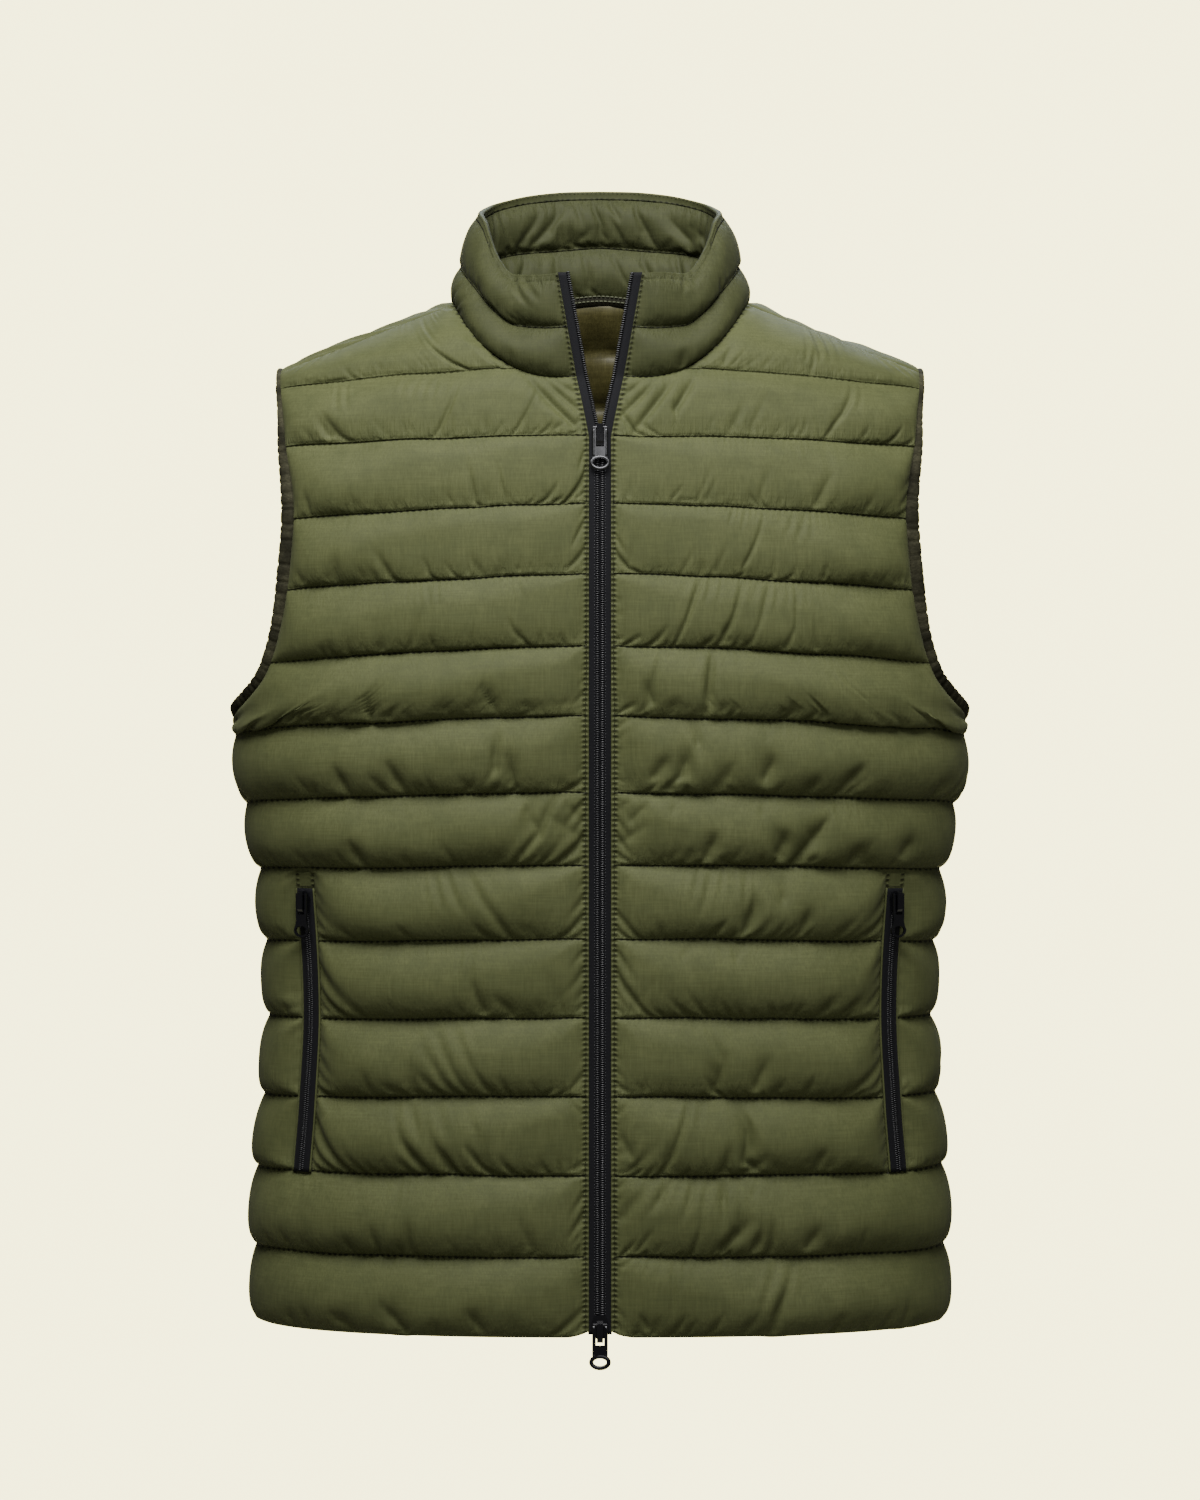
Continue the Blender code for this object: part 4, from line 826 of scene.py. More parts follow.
def settle_panel(panel, shares, notch, seed, creases=()):
    """The shell and the lining of a panel, settled, as grids of points."""
    rng = np.random.default_rng(seed)
    is_front = not panel.behind
    cell, fullness = (FRONT_CELL, FRONT_FULL) if is_front else (BACK_CELL, BACK_FULL)
    base, valid = grid_of(panel, len(shares))
    shape = valid.shape
    steps, channel = np.array(panel.steps)[:, None], np.array(panel.channels)
    place = channel + steps[:, 0]
    below_arm = base[:, -1, 2] < UNDERARM + GAP
    for column in (-1,) if is_front else (0, -1):
        base[below_arm, column, 1] += SIDE_OVERLAP if is_front else -SIDE_OVERLAP
    base[..., 2] += seam_wander(rng, shape, cell, ZIP_STITCH_COLUMN if is_front else 0, notch)
    behind = np.zeros(shape, bool) if is_front else base[..., 1] > 0
    ways = normals_of(base, behind)
    most = np.array(panel.most)[:, None]
    most = most * np.array(CHANNEL_FULL)[np.minimum(channel, len(CHANNEL_FULL) - 1)][:, None]
    height = PUFF * most * Curve(fullness, 1)(np.abs(shares))[None, :] * channel_fullness(steps**LEAN_DOWN)
    height *= 1 - near_side(base, shares, TIP_SHARE, 0.12, TIP_HEIGHT, TIP_REACH) * TIP_FLAT
    seam = (np.isclose(steps, 0.0) | np.isclose(steps, 1.0)) & np.ones(shape, bool)
    free = valid & ~seam
    free[:, (0, -1)] = False
    free[(0, -1), :] = False
    beside = np.minimum(steps, 1 - steps) * CHANNEL_HIGH * np.ones(shape)
    seam_rows = [row for row in range(shape[0]) if seam[row].any()]
    calm = 1 - SHOULDER_CALM * smoothstep((place - SHOULDER_CALM_FROM) / 0.8)[:, None] * np.ones(shape)
    calm *= 1.35 - 1.1 * steps
    arms = near_side(base, shares, ARM_SHARE, 0.25, ARM_HEIGHT, ARM_REACH)
    calm *= 1 - ARM_CALM * arms
    middle = 0 if is_front else shape[1] // 2
    deep = slanted_creases(rng, base, seam_rows, cell, middle, CREASE, CREASES_APART) * calm
    pressed = crease_depth(base, creases)
    deep = np.maximum(deep, pressed)
    extra_up, stitched = np.zeros(shape), np.zeros(shape)
    if is_front:
        stitched = fit_front(base, shares, place, notch, height, free, extra_up)
    shell = settle(
        base, ways, valid, height, beside, seam, free, rng, cell, deep, extra_up, calm, 1 - 0.7 * arms
    )
    shell -= ways * (PRESSED * pressed * free)[..., None]
    lining = base - ways * WALL
    ripple = smooth_noise(rng, shape, (34, int(shape[1] * cell / RIPPLES_APART)))
    lining -= ways * ((0.8 * height * (1 + 0.35 * ripple) + 0.0022 * ripple) * free)[..., None]
    # the "seam" layer is painted shade along each quilting line: narrower below a line than above it, fainter
    # up the chest and at the shoulders, more so on the back
    thin = np.where(steps > 0.5, PAINTED_SHADE_BELOW_SEAM, PAINTED_SHADE_ABOVE_SEAM)
    faint = 1 - 0.4 * smoothstep((base[..., 2] + 0.16) / 0.10)
    faint -= 0.4 * smoothstep((base[..., 2] + 0.050) / 0.02)
    return {
        "base": base,
        "ways": ways,
        "shell": shell,
        "lining": lining,
        "seam": np.exp(-((beside / thin) ** 2)) * (faint if is_front else faint * faint),
        "near": np.exp(-beside / CREPE_REACH) * free * calm,
        "edge": stitched,
        "valid": valid,
        "seam_rows": seam_rows,
        "notch": notch,
    }


def column_shares(start_x, behind, neck_share, cell, near=()):
    """Shares of a panel's width where its columns lie, and the column at the neck's end.

    At the waist they are evenly apart, after a few at set distances beside the zip.
    """
    dense = np.linspace(0, 1, 2000)
    z = np.full(dense.shape, WAIST)
    width = half_width(z)
    run = run_along(on_surface(across(dense, start_x, width, width, behind), z, behind))
    parts = []
    for first, last, steps in ((0, neck_share, near), (neck_share, 1, ())):
        start, end = np.interp((first, last), dense, run)
        count = even_count(end - start, cell)
        at = np.linspace(start + max(steps, default=0), end, count + 1 - len(steps))
        at = np.concatenate([[start + step for step in (0, *steps)][: len(steps)], at])
        parts.append(np.interp(at, run, dense))
    return np.concatenate([parts[0][:-1], parts[1]]), len(parts[0]) - 1


def settled_front(seed, creases):
    near = (ZIP_STITCH / 2, ZIP_STITCH)
    shares, neck = column_shares(ZIP_HALF, False, NECK_SHARE, FRONT_CELL, near)
    notch = (ROWS * len(QUILTING), neck)
    return settle_panel(front_panel(shares, neck), shares, notch, seed, creases)


def settled_back(seed):
    half = column_shares(0.0, True, BACK_NECK_SHARE, BACK_CELL)[0]
    panel = back_panel(half)
    panel.points = [np.concatenate([row[:0:-1] * (-1, 1, 1), row]) for row in panel.points]
    shares = np.concatenate([-half[:0:-1], half])
    return settle_panel(panel, shares, (len(panel.points) - 1, 0), seed)


# ---------------------------------------------------------------- collar
def mirrored_columns(grid):
    """A grid whose last column is in the middle, with its other half."""
    return np.concatenate([grid, grid[:, -2::-1] * (-1, 1, 1)], axis=1)


def collar_turns(part):
    """Turn in degrees, from the zip at part 0 to the middle of the back at 1."""
    return COLLAR_RIM_FIRST_TURN + (180.0 - COLLAR_RIM_FIRST_TURN) * part


def collar_frame():
    """Seam and rim points and ways out of the collar's columns, from the zip to the middle."""
    dense = np.linspace(neck_turn_at(COLLAR_FIRST_X), math.pi, 3000)
    length = run_along(neckline(dense))
    count = even_count(length[-1], COLLAR_CELL)
    turns = np.interp(np.linspace(0, length[-1], count + 1), length, dense)
    seam = neckline(turns)
    out = normals_of(seam, seam[:, 1] > 0)
    step = 1e-4
    along = unit(neckline(np.minimum(turns + step, math.pi)) - neckline(turns - step))
    beyond = unit(np.cross(out, along))
    beyond *= np.where(beyond[:, 2:] < 0, -1, 1)
    seam_out = seam + beyond * GAP
    seam_in = seam_out - out * WALL
    high = collar_turns((turns - turns[0]) / (math.pi - turns[0]))
    rim = np.stack([Curve(COLLAR_RIM, k)(high) for k in (1, 2, 3)], axis=-1)
    for points in (seam_out, seam_in, rim):
        points[-1, 0] = 0.0
    middle = (seam_out + seam_in) / 2
    run = np.gradient(rim + middle, axis=0)
    run[-1] = (-1, 0, 0)
    way = unit(np.cross(rim - middle, run))
    way *= np.where((way[:, :2] * rim[:, :2]).sum(-1, keepdims=True) < 0, -1, 1)
    corner = (turns - turns[0]) / (TOP_LINE_NECK_TURN - turns[0])
    ends = Curve(FRONT_FULL, 1)(NECK_SHARE * np.minimum(1, corner))
    return seam_out, seam_in, rim, way, ends


def collar_shares():
    """Shares of the height of the collar's rows, and each row's distance from a seam."""
    low, middle, rim = COLLAR_ROW_COUNTS
    seams = COLLAR_SEAMS
    rows = [seams[0] + (seams[1] - seams[0]) * channel_steps(low)[:-1]]
    rows.append(seams[1] + (seams[2] - seams[1]) * channel_steps(middle)[:-1])
    rows.append(np.linspace(seams[2], 1, rim + 1))
    shares = np.concatenate(rows)
    beside = np.abs(shares[:, None] - np.array(seams)[None, :]).min(axis=1) * 0.085
    return shares, beside, (0, low, low + middle)


def settled_collar():
    """The collar's outer and inner grid, settled, and the rows of its seams."""
    seam_out, seam_in, rim, way, ends = collar_frame()
    shares, beside, seam_rows = collar_shares()
    high = collar_turns(np.linspace(0, 1, len(rim)))
    line, fuller = Curve(COLLAR_LINE, 1)(high), Curve(COLLAR_SIDE, 1)(high)
    stand = Curve(COLLAR_SIDE, 2)(high)
    flat = smoothstep((high - RIM_ROLLED_TO) / (RIM_FLAT_FROM - RIM_ROLLED_TO))
    shape = (len(shares), 2 * len(rim) - 1)
    warp = np.interp(shares, (0, COLLAR_SEAMS[1], COLLAR_SEAMS[2], 1), (0, 1, 0, 0))
    s = (shares[:, None] + warp[:, None] * (line - COLLAR_SEAMS[1]))[..., None]
    full = Curve(COLLAR_FULL, 1)(shares)[:, None] * flat
    full = full + Curve(COLLAR_FULL, 2)(shares)[:, None] * (1 - flat)
    full = full * ends[None, :]
    bulge = np.sin(math.pi * shares) ** 0.8
    both_flat = np.concatenate([flat, flat[-2::-1]])
    sewn_flat = both_flat > 0.5
    near_rim = np.zeros(shape, bool)
    near_rim[seam_rows[-1] :] = sewn_flat
    uneven = smooth_noise(np.random.default_rng(71), (2, shape[1]), (1, 30))[0]
    uneven = 0.0013 * uneven * (1 - both_flat) * smoothstep((shares[:, None] - 0.6) / 0.4)
    uneven[:, (0, -1)] = 0
    seam_mask = np.zeros(shape, bool)
    seam_mask[list(seam_rows[:2])] = True
    seam_mask[seam_rows[2]] = sewn_flat
    sewn = np.ones(shape)
    sewn[(seam_rows[1] + seam_rows[2]) // 2 :] = sewn_flat  # a rolled rim has no seam below it
    free = ~seam_mask & ~near_rim
    free[-1] = False
    free[:, (0, -1)] = False
    near = beside[:, None] * np.ones(shape)
    away = np.abs(np.arange(shape[1]) - COLLAR_STITCH_COLUMN)
    away = np.minimum(away, away[::-1]) * COLLAR_CELL
    found = {}
    sides = (
        ("outer", seam_out, 1, COLLAR_PUFF * full * fuller, 83, 0.65, 0.035),
        ("inner", seam_in, -1, COLLAR_PUFF_INSIDE * full, 97, 1.0, 0.022),
    )
    for name, seam, sign, height, seed, most, folds in sides:
        rng = np.random.default_rng(seed)
        top = rim + way * COLLAR_WALL / 2 * sign
        base = seam + (top - seam) * s
        base = mirrored_columns(base + way * (bulge[:, None] * stand)[..., None])
        base[..., 2] += uneven
        ways = mirrored_columns(np.broadcast_to(way * sign, (len(shares), *way.shape)))
        height = np.concatenate([height, height[:, -2::-1]], axis=1)
        deep = slanted_creases(rng, base, seam_rows, COLLAR_CELL, shape[1] // 2, most, (folds, 0.010))
        if sign < 0:
            deep = np.maximum(deep, crease_depth(base, COLLAR_CREASES) * (base[..., 1] > 0))
        shell = settle(
            base, ways, np.ones(shape, bool), height, near, seam_mask, free, rng, COLLAR_CELL, deep,
            np.zeros(shape), np.ones(shape), 1.0,
        )
        found[name] = {
            "base": base,
            "ways": ways,
            "shell": shell,
            # painted shade along the collar's seams, none along a rolled rim
            "seam": np.exp(-((near / 0.0009) ** 2)) * sewn,
            "near": np.exp(-near / 0.006) * free,
            "edge": np.exp(-((away / 0.0012) ** 2)) * np.ones(shape),
            "flat": both_flat,
        }
    return found, seam_rows


# ---------------------------------------------------------------- meshes
def mesh_object(name, points, faces, *materials):
    mesh = bpy.data.meshes.new(name)
    mesh.from_pydata(np.asarray(points).tolist(), [], faces)
    mesh.shade_smooth()
    for material in materials:
        mesh.materials.append(material)
    made = bpy.data.objects.new(name, mesh)
    bpy.context.scene.collection.objects.link(made)
    return made


def float_layer(made, name, values):
    layer = made.data.attributes.new(name, "FLOAT", "POINT")
    layer.data.foreach_set("value", np.asarray(values, np.float32))


def outline_of(shape, notch):
    """Rows and columns of the edge of a grid whose last rows start at a later column."""
    rows, columns = shape[0] - 1, shape[1] - 1
    notch_row, notch_column = notch
    edge = [(0, c) for c in range(columns)]
    edge += [(r, columns) for r in range(rows)]
    edge += [(rows, c) for c in range(columns, notch_column, -1)]
    edge += [(r, notch_column) for r in range(rows, notch_row, -1)]
    edge += [(notch_row, c) for c in range(notch_column, 0, -1)]
    edge += [(r, 0) for r in range(notch_row, 0, -1)]
    return edge


def quads_of(table, step):
    """Faces between every so many rows and columns of a table of point numbers, -1 for none."""
    a, b = table[:-step:step, :-step:step], table[:-step:step, step::step]
    c, d = table[step::step, step::step], table[step::step, :-step:step]
    quads = np.stack([a, b, c, d], axis=-1).reshape(-1, 4)
    return quads[(quads >= 0).all(axis=1)]


def closed_wall(outer, inner, notch, step, flip):
    """Points and faces of a wall: the outer cloth, the inner with every so many cells, the edges.

    Also how many points the outer cloth has, how many faces each cloth has, outer first, and
    which places of the grid it fills.
    """
    rows, columns = outer.shape[:2]
    valid = np.ones((rows, columns), bool)
    valid[notch[0] + 1 :, : notch[1]] = False
    index = -np.ones((rows, columns), int)
    index[valid] = np.arange(valid.sum())
    coarse = np.zeros((rows, columns), bool)
    coarse[::step, ::step] = True
    coarse &= valid
    below = -np.ones((rows, columns), int)
    below[coarse] = valid.sum() + np.arange(coarse.sum())
    points = np.concatenate([outer[valid], inner[coarse]])
    front, rear = quads_of(index, 1).tolist(), quads_of(below, step)[:, ::-1].tolist()
    edges = []
    edge = outline_of((rows, columns), notch)
    run = [edge[0]]
    for key in edge[1:] + edge[:1]:
        run.append(key)
        if below[key] >= 0:
            face = [int(index[k]) for k in reversed(run)]
            edges.append(face + [int(below[run[0]]), int(below[run[-1]])])
            run = [key]
    faces = front + rear + edges
    if flip:
        faces = [face[::-1] for face in faces]
    return (points, faces), (int(valid.sum()), len(front), len(rear)), valid


def ring_strip(rings, closed):
    """Points and faces of a bar through rings of the same number of points."""
    count, around = rings.shape[:2]
    table = np.arange(count * around).reshape(count, around)
    ends = [] if closed else [table[0, ::-1].tolist(), table[-1].tolist()]
    table = np.concatenate([table, table[:, :1]], axis=1)
    if closed:
        table = np.concatenate([table, table[:1]], axis=0)
    return rings.reshape(-1, 3), quads_of(table, 1).tolist() + ends


def short_bars(rings):
    """Points and faces of many closed bars: the axes of rings are bar, ring, point and x, y, z."""
    count, length, around = rings.shape[:3]
    table = np.arange(count * length * around).reshape(count, length, around)
    ends = table[:, 0, ::-1].tolist() + table[:, -1].tolist()
    table = np.concatenate([table, table[:, :, :1]], axis=2)
    quads = np.stack([table[:, :-1, :-1], table[:, :-1, 1:], table[:, 1:, 1:], table[:, 1:, :-1]], axis=-1)
    return rings.reshape(-1, 3), quads.reshape(-1, 4).tolist() + ends


def joined(parts):
    """Several meshes' points and faces as one."""
    points, faces, start = [], [], 0
    for part_points, part_faces in parts:
        points.append(part_points)
        faces += [[start + i for i in face] for face in part_faces]
        start += len(part_points)
    return np.concatenate(points), faces


def turned_out(made):
    """Turns a closed piece's faces outward."""
    work = bmesh.new()
    work.from_mesh(made.data)
    bmesh.ops.recalc_face_normals(work, faces=work.faces)
    work.to_mesh(made.data)
    work.free()
    made.data.shade_smooth()
    return made


THREAD_STEPS = np.array([0.0, 0.18, 0.5, 0.82, 1.0])  # where the rings of a stitch lie along it
THREAD_RISE = np.array([-1.6, 0.5, 0.8, 0.5, -1.6])  # how high, in its radius
THREAD_THICK = np.array([0.5, 1.0, 1.0, 1.0, 0.5])
THREAD_SUNK, THREAD_SIDES = 0.0001, 5


def stitch_line(points, ways, pitch=STITCH, length=0.66, radius=0.00026, uneven=0.35):
    """Stitches along a line on cloth: short arched threads that dip into it at both ends."""
    run = run_along(points)
    count = int(run[-1] / pitch)
    rng = np.random.default_rng(count)
    starts = (np.arange(count) + 0.5 * (1 - length)) * (run[-1] / count)
    starts += rng.uniform(-uneven, uneven, count) * pitch * 0.15
    lengths = pitch * length * (1 - uneven * rng.uniform(0, 0.55, count))
    at = starts[:, None] + THREAD_STEPS * lengths[:, None]
    way = unit(between(at, run, np.broadcast_to(ways, points.shape)))
    lift = THREAD_RISE * radius - THREAD_SUNK - uneven * rng.uniform(0, 1.6, (count, 1)) * radius
    centre = between(at, run, points) + way * lift[..., None]
    along = unit(centre[:, -1] - centre[:, 0])[:, None, :]
    side = unit(np.cross(way, along))
    centre = centre + side * (uneven * rng.uniform(-0.7, 0.7, (count, 1)) * radius)[..., None]
    up = np.cross(along, side)
    turns = np.arange(THREAD_SIDES)[:, None] * 2 * math.pi / THREAD_SIDES
    ring = np.cos(turns) * side[:, :, None, :] + np.sin(turns) * up[:, :, None, :]
    return short_bars(centre[:, :, None, :] + ring * THREAD_THICK[:, None, None] * radius)


def mirrored(part):
    points, faces = part
    return points * (-1, 1, 1), [face[::-1] for face in faces]


def on_side(part, side):
    """A part of the left side on the side that is asked for."""
    return mirrored(part) if side == "right" else part


# ---------------------------------------------------------------- materials
class Nodes:
    """Short calls for building a node material."""

    def __init__(self, name):
        self.material = bpy.data.materials.new(name)
        self.material.use_nodes = True
        self.tree = self.material.node_tree
        self.shader = self.tree.nodes["Principled BSDF"]

    def feed(self, socket, value):
        if isinstance(value, bpy.types.NodeSocket):
            self.tree.links.new(value, socket)
        else:
            socket.default_value = value

    def math(self, operation, a, b=0.0):
        made = self.tree.nodes.new("ShaderNodeMath")
        made.operation = operation
        self.feed(made.inputs[0], a)
        self.feed(made.inputs[1], b)
        return made.outputs[0]

    def place(self, scale):
        coordinates = self.tree.nodes.new("ShaderNodeTexCoord")
        mapping = self.tree.nodes.new("ShaderNodeMapping")
        mapping.inputs["Scale"].default_value = scale
        self.tree.links.new(coordinates.outputs["Object"], mapping.inputs["Vector"])
        return mapping.outputs[0]

    def noise(self, scale, detail=2.0, roughness=0.5, distortion=0.0):
        made = self.tree.nodes.new("ShaderNodeTexNoise")
        self.tree.links.new(self.place(scale), made.inputs["Vector"])
        made.inputs["Scale"].default_value = 1.0
        made.inputs["Detail"].default_value = detail
        made.inputs["Roughness"].default_value = roughness
        made.inputs["Distortion"].default_value = distortion
        return made.outputs["Fac"]

    def wave(self, pitch, direction, distortion):
        """Bands that lie a pitch apart."""
        made = self.tree.nodes.new("ShaderNodeTexWave")
        made.bands_direction = direction
        self.tree.links.new(self.place((1, 1, 1)), made.inputs["Vector"])
        bands = 10 if direction == "DIAGONAL" else 20
        made.inputs["Scale"].default_value = 2 * math.pi / (bands * pitch)
        made.inputs["Distortion"].default_value = distortion
        return made.outputs["Fac"]

    def layer(self, name):
        made = self.tree.nodes.new("ShaderNodeAttribute")
        made.attribute_name = name
        return made.outputs["Fac"]

    def spread(self, value, low, high, to_low=0.0, to_high=1.0):
        made = self.tree.nodes.new("ShaderNodeMapRange")
        self.feed(made.inputs["Value"], value)
        numbers = (low, high, to_low, to_high)
        for key, number in zip(("From Min", "From Max", "To Min", "To Max"), numbers):
            made.inputs[key].default_value = number
        return made.outputs[0]

    def mix(self, factor, a, b):
        made = self.tree.nodes.new("ShaderNodeMix")
        made.data_type = "RGBA"
        self.feed(made.inputs["Factor"], factor)
        for socket, value in ((made.inputs[6], a), (made.inputs[7], b)):
            self.feed(socket, value if isinstance(value, bpy.types.NodeSocket) else (*value, 1.0))
        return made.outputs[2]

    def bump(self, height, distance, strength=1.0, before=None):
        made = self.tree.nodes.new("ShaderNodeBump")
        made.inputs["Strength"].default_value = strength
        made.inputs["Distance"].default_value = distance
        self.feed(made.inputs["Height"], height)
        if before is not None:
            self.tree.links.new(before, made.inputs["Normal"])
        self.tree.links.new(made.outputs[0], self.shader.inputs["Normal"])
        return made.outputs[0]

    def finish(self, colour, roughness, metallic=0.0, sheen=0.0, specular=0.5, coat=0.0):
        s = self.shader.inputs
        self.feed(s["Base Color"], colour)
        self.feed(s["Roughness"], roughness)
        s["Metallic"].default_value = metallic
        s["Sheen Weight"].default_value = sheen
        s["Specular IOR Level"].default_value = specular
        s["Coat Weight"].default_value = coat
        return self.material


def tinted(colour, share):
    return tuple(c * share for c in colour)


def nylon(name, light, middle, dark, roughness, specular):
    """Light plain-woven nylon: faint streaks along both threads, puckered at seams, with painted shade in
    dashes along the quilting lines and dark stitch holes with painted pucker shade beside the zip.
    """
    m = Nodes(name)
    tone = m.mix(m.spread(m.noise((11, 11, 11), 3.0, 0.55), 0.34, 0.66), middle, light)
    patches = m.spread(m.noise((75, 75, 60), 3.0, 0.6), 0.42, 0.66, 0.0, 0.35)
    tone = m.mix(patches, tone, tuple(c * f for c, f in zip(dark, (1.0, 1.05, 1.15))))
    upright = m.noise((900, 900, 45), 2.0, 0.6)
    level = m.noise((50, 50, 1000), 2.0, 0.6)
    streak = m.math("ADD", m.math("MULTIPLY", upright, 0.55), m.math("MULTIPLY", level, 0.45))
    tone = m.mix(m.spread(streak, 0.36, 0.64, 0.55, 0.0), tone, dark)
    # a near-black tone of the cloth, used as painted shade in the seams' grooves and the stitches' puckers
    deep = tinted(dark, 0.16)
    regular = m.math("MULTIPLY", m.wave(STITCH, "X", 3.0), 0.45)
    broken = m.math("ADD", regular, m.noise((210, 210, 210), 3.0, 0.6))
    dashes = m.spread(broken, 0.42, 0.98, 0.30, 1.0)
    # painted shade in the quilting lines' grooves, broken into dashes at the stitch pitch where the holes are
    line = m.math("MULTIPLY", m.layer("seam"), dashes)
    tone = m.mix(m.spread(line, 0.25, 0.80, 0.0, 0.92), tone, deep)
    # dark stitch holes along the "edge" lines: partly real holes, partly painted shade of the puckers they
    # pull
    holes = m.wave(ZIP_STITCH_PITCH, "Z", 0.3)
    hole_and_pucker_shade = m.math("MULTIPLY", m.layer("edge"), m.spread(holes, 0.55, 0.85))
    tone = m.mix(m.spread(hole_and_pucker_shade, 0.2, 0.8, 0.0, 0.8), tone, deep)
    fine = m.math("MULTIPLY", m.layer("near"), m.noise((300, 300, 55), 3.0, 0.6, 0.5))
    tight = m.bump(fine, 0.0026, 1.0)
    pulled = m.bump(m.math("MULTIPLY", m.layer("edge"), holes), 0.0008, 0.9, tight)
    ripple = m.bump(m.noise((330, 330, 80), 3.0, 0.55, 0.4), 0.0004, 0.32, pulled)
    m.bump(m.noise((2600, 2600, 2600), 1.0, 0.5), 0.00006, 0.30, ripple)
    rough = m.spread(streak, 0.3, 0.7, roughness - 0.05, roughness + 0.06)
    return m.finish(tone, rough, sheen=0.04, specular=specular)


def gathered(name, colour, roughness):
    """Stretch binding: dark, with close dull ribs across it and painted shade in the grooves between them."""
    m = Nodes(name)
    patches = m.noise((60, 60, 60), 2.0)
    tone = m.mix(m.spread(patches, 0.40, 0.70), colour, tinted(colour, 3.2))
    ribs = m.noise((500, 500, 900), 2.0, 0.6, 0.2)
    # the ribs' low places, where the bump dips, are darkened as painted shade
    tone = m.mix(m.spread(ribs, 0.35, 0.65, 0.5, 0.0), tone, tinted(colour, 0.4))
    m.bump(ribs, 0.0003, 0.6)
    return m.finish(tone, roughness, specular=0.10)


def twill(name, colour, roughness):
    """Woven tape: slanted ribs, each a thread wide, with a little fuzz."""
    m = Nodes(name)
    ribs = m.wave(0.0008, "DIAGONAL", 0.5)
    fuzz = m.noise((1500, 1500, 1500), 2.0)
    tone = m.mix(m.spread(ribs, 0.2, 0.8, 0.0, 0.5), colour, tinted(colour, 0.55))
    tone = m.mix(m.spread(fuzz, 0.4, 0.8, 0.0, 0.35), tone, tinted(colour, 2.2))
    m.bump(m.math("ADD", ribs, m.math("MULTIPLY", fuzz, 0.6)), 0.00010, 0.5)
    return m.finish(tone, roughness, sheen=0.05, specular=0.2)


def plain(name, colour, roughness, metallic=0.0, coat=0.0, grain=0.00003, varied=0.15, specular=0.5):
    """Metal, enamel, thread or floor: spots of tone, a fine grain and uneven polish."""
    m = Nodes(name)
    tone = m.mix(m.noise((300, 300, 300), 3.0), colour, tinted(colour, 1 - varied))
    m.bump(m.noise((1600, 1600, 1600), 2.0), grain, 0.4)
    wear = m.noise((130, 130, 130), 3.0)
    rough = m.spread(wear, 0.3, 0.7, roughness * 0.8, min(1.0, roughness * 1.2))
    return m.finish(tone, rough, metallic=metallic, coat=coat, specular=specular)


OLIVE = ((0.152, 0.168, 0.069), (0.127, 0.142, 0.055), (0.080, 0.090, 0.033))
BROWN_OLIVE = ((0.150, 0.136, 0.044), (0.100, 0.089, 0.026), (0.030, 0.027, 0.007))
SHELL = nylon("olive_nylon", *OLIVE, 0.60, 0.18)
# the collar's outside and inside are the same olive nylon in darker copies, painted shade: 0.62 of its tone
# outside, 0.58 inside
COLLAR_OUT_PAINTED_SHADE = nylon("olive_nylon_collar_outside_painted_shade", *[tinted(c, 0.62) for c in OLIVE], 0.60, 0.18)
COLLAR_IN_PAINTED_SHADE = nylon("olive_nylon_collar_inside_painted_shade", *[tinted(c, 0.58) for c in OLIVE], 0.60, 0.18)
LINING = nylon("dark_olive_lining", *BROWN_OLIVE, 0.42, 0.45)
THREAD = plain("olive_thread", (0.070, 0.075, 0.030), 0.7, grain=0.00005, varied=0.4, specular=0.3)
BINDING = gathered("binding_brown", (0.028, 0.0270, 0.0155), 0.75)
# dark twill of the neck tape, also used for the strip of painted shadow below it
NECK_TAPE_AND_PAINTED_SHADOW = twill("neck_tape_twill_and_painted_shadow", (0.020, 0.019, 0.009), 0.7)
PALE_THREAD = plain("pale_thread", (0.150, 0.162, 0.095), 0.7, varied=0.3)
ZIP_TAPE = twill("zip_tape_black", (0.0105, 0.0105, 0.0130), 0.72)
COIL = plain("coil_black", (0.055, 0.055, 0.060), 0.34, varied=0.3, specular=0.7)
GUNMETAL = plain("gunmetal", (0.15, 0.15, 0.155), 0.32, metallic=1.0, varied=0.5)
ENAMEL = plain("black_enamel", (0.008, 0.008, 0.010), 0.16, coat=0.8, varied=0.2)


# ---------------------------------------------------------------- padded pieces
def add_piece(name, part, slot, *materials, replaces=()):
    made = mesh_object(name, *part, *materials)
    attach(made, "vest")
    if replaces:
        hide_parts(*replaces)
    return made


def add_padded(name, part, counts, valid, grids, node, *materials):
    """A padded piece from its outer cloth, of one or two grids, and its inner cloth."""
    made = add_piece(name, part, "olive_shell", *materials, replaces=[node])
    inner_faces = np.zeros(len(part[1]), np.int32)
    inner_faces[counts[1] : counts[1] + counts[2]] = 1
    made.data.polygons.foreach_set("material_index", inner_faces)
    for layer in ("seam", "near", "edge"):
        values = np.zeros(len(part[0]))
        values[: len(grids) * counts[0]] = np.concatenate([grid[layer][valid] for grid in grids])
        float_layer(made, layer, values)


def stitches_on(grid, sheet, rows, columns, lift, **thread):
    """Stitches along a row or a column of a grid's base or shell."""
    points, ways = grid[sheet][rows, columns], grid["ways"][rows, columns]
    return stitch_line(points + ways * lift, ways, **thread)


def seam_stitches(grid, first_of):
    """Threads along each quilting row of a panel."""
    parts = []
    for row in grid["seam_rows"][1:-1]:
        columns = grid["valid"][row].copy()
        columns[:first_of] = False
        parts.append(stitches_on(grid, "base", row, columns, 0.0001, length=0.62, radius=0.00020, uneven=1.0))
    return parts


def surface_line(share, z, lift):
    """Points and ways on the front at a share of its width, at the heights z."""
    width = half_width(z)
    points = on_surface(across(share, ZIP_HALF, width, width, False), z, False)
    ways = normals_of(points, np.zeros(len(z), bool))
    return points + ways * lift, ways


EDGE_THREAD = {"length": 0.6, "radius": 0.00022}


